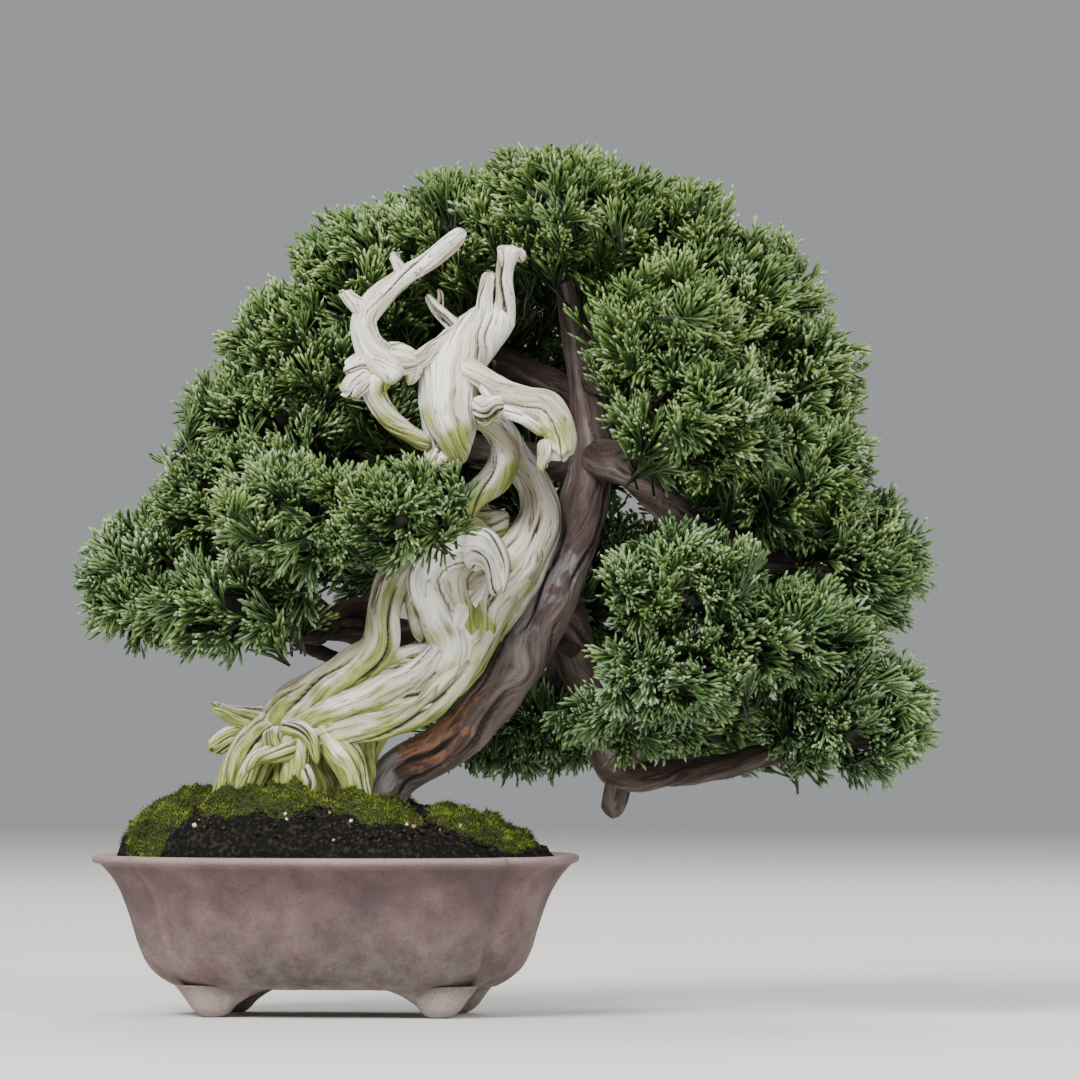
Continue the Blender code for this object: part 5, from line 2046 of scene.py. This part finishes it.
    def build(self) -> None:
        """Builds the soil, its litter and the moss."""
        shape = self.shape
        soil = shape.turned(self.soil())
        self.place("damp_soil_mound", soil, self.soil_finish.build(), Slot.SOIL, ["soil"])
        litter = shape.turned(self.litter(np.random.default_rng(550)))
        self.place("soil_litter", litter, self.litter_finish.build(), Slot.SOIL, ["soil"])
        material = self.moss_finish.build()
        for number, (name, (middle, half)) in enumerate(self.cushions.items()):
            body = self.cushion(middle, half, self.cushion_seed + 2 * number)
            shoots = self.spikes(body, np.random.default_rng(600 + number))
            surface = shape.turned(join([body, shoots]))
            self.place(f"{name}_cushion", surface, material, Slot.MOSS, [name])


@dataclass
class HiddenParts:
    """The drainage parts under the soil, whose CAD shapes are right as they are."""

    finishes: dict[str, Finish]

    def build(self, nodes: dict[str, bpy.types.Object]) -> None:
        """Gives each CAD node a better material.

        Args:
            nodes: The frame's nodes.
        """
        for start, finish in self.finishes.items():
            material = finish.build()
            for name, node in nodes.items():
                if name.startswith(start):
                    node.material_slots[0].material = material
                    LOG.info("%s: %s", name, finish.name)


@dataclass
class Studio:
    """The floor, the soft lights and the camera. Lengths are in metres."""

    camera_place: tuple[float, float, float] = (0.0112, -3.071, 0.1328)
    looks_at: tuple[float, float, float] = (0.0112, -0.071, 0.1676)
    lens_mm: float = 287.0
    floor_size: float = 6.0
    floor_code: str = "#d9d7d3"
    backdrop_code: str = "#e9ebee"
    # Place, side and watts of each soft box.
    lights: tuple[tuple[tuple[float, float, float], float, float], ...] = (
        ((-1.0, -1.5, 1.7), 1.2, 94.0),
        ((1.4, -1.3, 1.3), 1.4, 36.0),
        ((0.3, 1.3, 1.6), 1.2, 30.0),
    )
    world_strength: float = 0.42

    def aim(self, thing: bpy.types.Object, place: tuple[float, float, float]) -> None:
        """Puts a lamp or the camera in its place, pointing at the tree.

        Args:
            thing: What to aim.
            place: Where it stands.
        """
        thing.location = place
        way = Vector(self.looks_at) - Vector(place)
        thing.rotation_euler = way.to_track_quat("-Z", "Y").to_euler()

    def floor(self) -> None:
        """Builds the pale, matt floor."""
        half = self.floor_size / 2
        corners = [(-half, -half, 0), (half, -half, 0), (half, half, 0), (-half, half, 0)]
        mesh = bpy.data.meshes.new("floor")
        mesh.from_pydata(corners, [], [(0, 1, 2, 3)])
        material = bpy.data.materials.new("painted_studio_floor")
        material.use_nodes = True
        shader = material.node_tree.nodes["Principled BSDF"]
        shader.inputs["Base Color"].default_value = colour(self.floor_code)
        shader.inputs["Roughness"].default_value = 0.9
        mesh.materials.append(material)
        add_object("floor", mesh)

    def build(self) -> None:
        """Builds the stage."""
        self.floor()
        for place, size, watts in self.lights:
            lamp = bpy.data.lights.new("soft_box", "AREA")
            lamp.size, lamp.energy = size, watts
            self.aim(add_object("soft_box", lamp), place)
        world = bpy.data.worlds.new("soft_studio")
        world.use_nodes = True
        backdrop = world.node_tree.nodes["Background"]
        backdrop.inputs["Color"].default_value = colour(self.backdrop_code)
        backdrop.inputs["Strength"].default_value = self.world_strength
        bpy.context.scene.world = world
        camera = bpy.data.cameras.new("camera")
        camera.lens, camera.sensor_width = self.lens_mm, 36.0
        thing = add_object("camera", camera)
        self.aim(thing, self.camera_place)
        bpy.context.scene.camera = thing


def main() -> None:
    """Builds the tree over its frame, sub-assembly by sub-assembly."""
    logging.basicConfig(level=logging.INFO, format="%(name)s %(message)s")
    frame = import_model()
    low, high = (np.array(corner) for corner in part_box("pot"))
    origin = np.array(((low[0] + high[0]) / 2, (low[1] + high[1]) / 2, high[2]))
    shape = PotShape(height=float(high[2] - low[2]) / MM)
    earth = ((0.35, "#040403"), (0.52, "#0c0b08"), (0.66, "#2a251d"))
    soil = Mottled("damp_potting_soil_sieved", 0.85, 1.6, earth, 0.6, specular=0.15)
    bits = ((0.0, "#070605"), (0.3, "#2b251d"), (0.5, "#4b3e31"), (0.7, "#9a7a58"), (1.0, "#e6e1d6"))
    litter = Growth("soil_crumbs_and_pumice_sieved", 0.85, bits, bits, specular=0.2)
    moss = Growth(
        "cushion_moss_growing",
        0.75,
        ((0.0, "#0d0e07"), (0.4, "#28300d"), (1.0, "#5e6921")),
        ((0.0, "#10140a"), (0.4, "#4d5c14"), (1.0, "#acb842")),
        specular=0.2,
    )
    leaf = Growth(
        "juniper_scale_foliage_growing",
        0.55,
        ((0.0, "#1a1a10"), (0.25, "#20361b"), (0.62, "#3a5a31"), (0.86, "#628158"), (1.0, "#a1b49b")),
        ((0.0, "#1c1a0d"), (0.25, "#273a15"), (0.62, "#486429"), (0.86, "#738c46"), (1.0, "#a3b17c")),
    )
    bark = LivingBark("juniper_bark_rubbed_smooth", 0.62)
    # The branches' bark is painted darker than the vein's: painted shade among the branches.
    shaded_branch_bark = LivingBark("juniper_branch_bark_rough_painted_shade", 0.8, ("#2c211c", "#413229", "#584840", "#75675f"))

    ClayPot(origin, UnglazedClay("unglazed_stoneware_mould_pressed", 0.78), shape).build()
    Ground(origin, soil, litter, moss, shape).build()
    Deadwood(origin, BleachedWood("juniper_heartwood_carved_and_bleached", 0.72)).build()
    LivingWood(origin, bark, shaded_branch_bark).build()
    pads = sorted(name for name in frame["nodes"] if name.startswith("foliage_"))
    Foliage(origin, leaf, pads).build()
    grit = ((0.3, "#8a7b64"), (0.7, "#a8977c"))
    net = ((0.3, "#141514"), (0.7, "#1c1d1c"))
    wire = ((0.3, "#a3a6aa"), (0.7, "#b9bcc0"))
    HiddenParts(
        {
            "drainage_grit": Mottled("pumice_grit_crushed", 0.95, 3.0, grit),
            "drainage_mesh": Mottled("polyethylene_netting_extruded", 0.45, 3.0, net),
            "wire_clip": Mottled("aluminium_wire_drawn", 0.35, 3.0, wire, metallic=1.0),
        }
    ).build(frame["nodes"])
    Studio().build()
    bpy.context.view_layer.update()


if __name__ == "__main__":
    main()
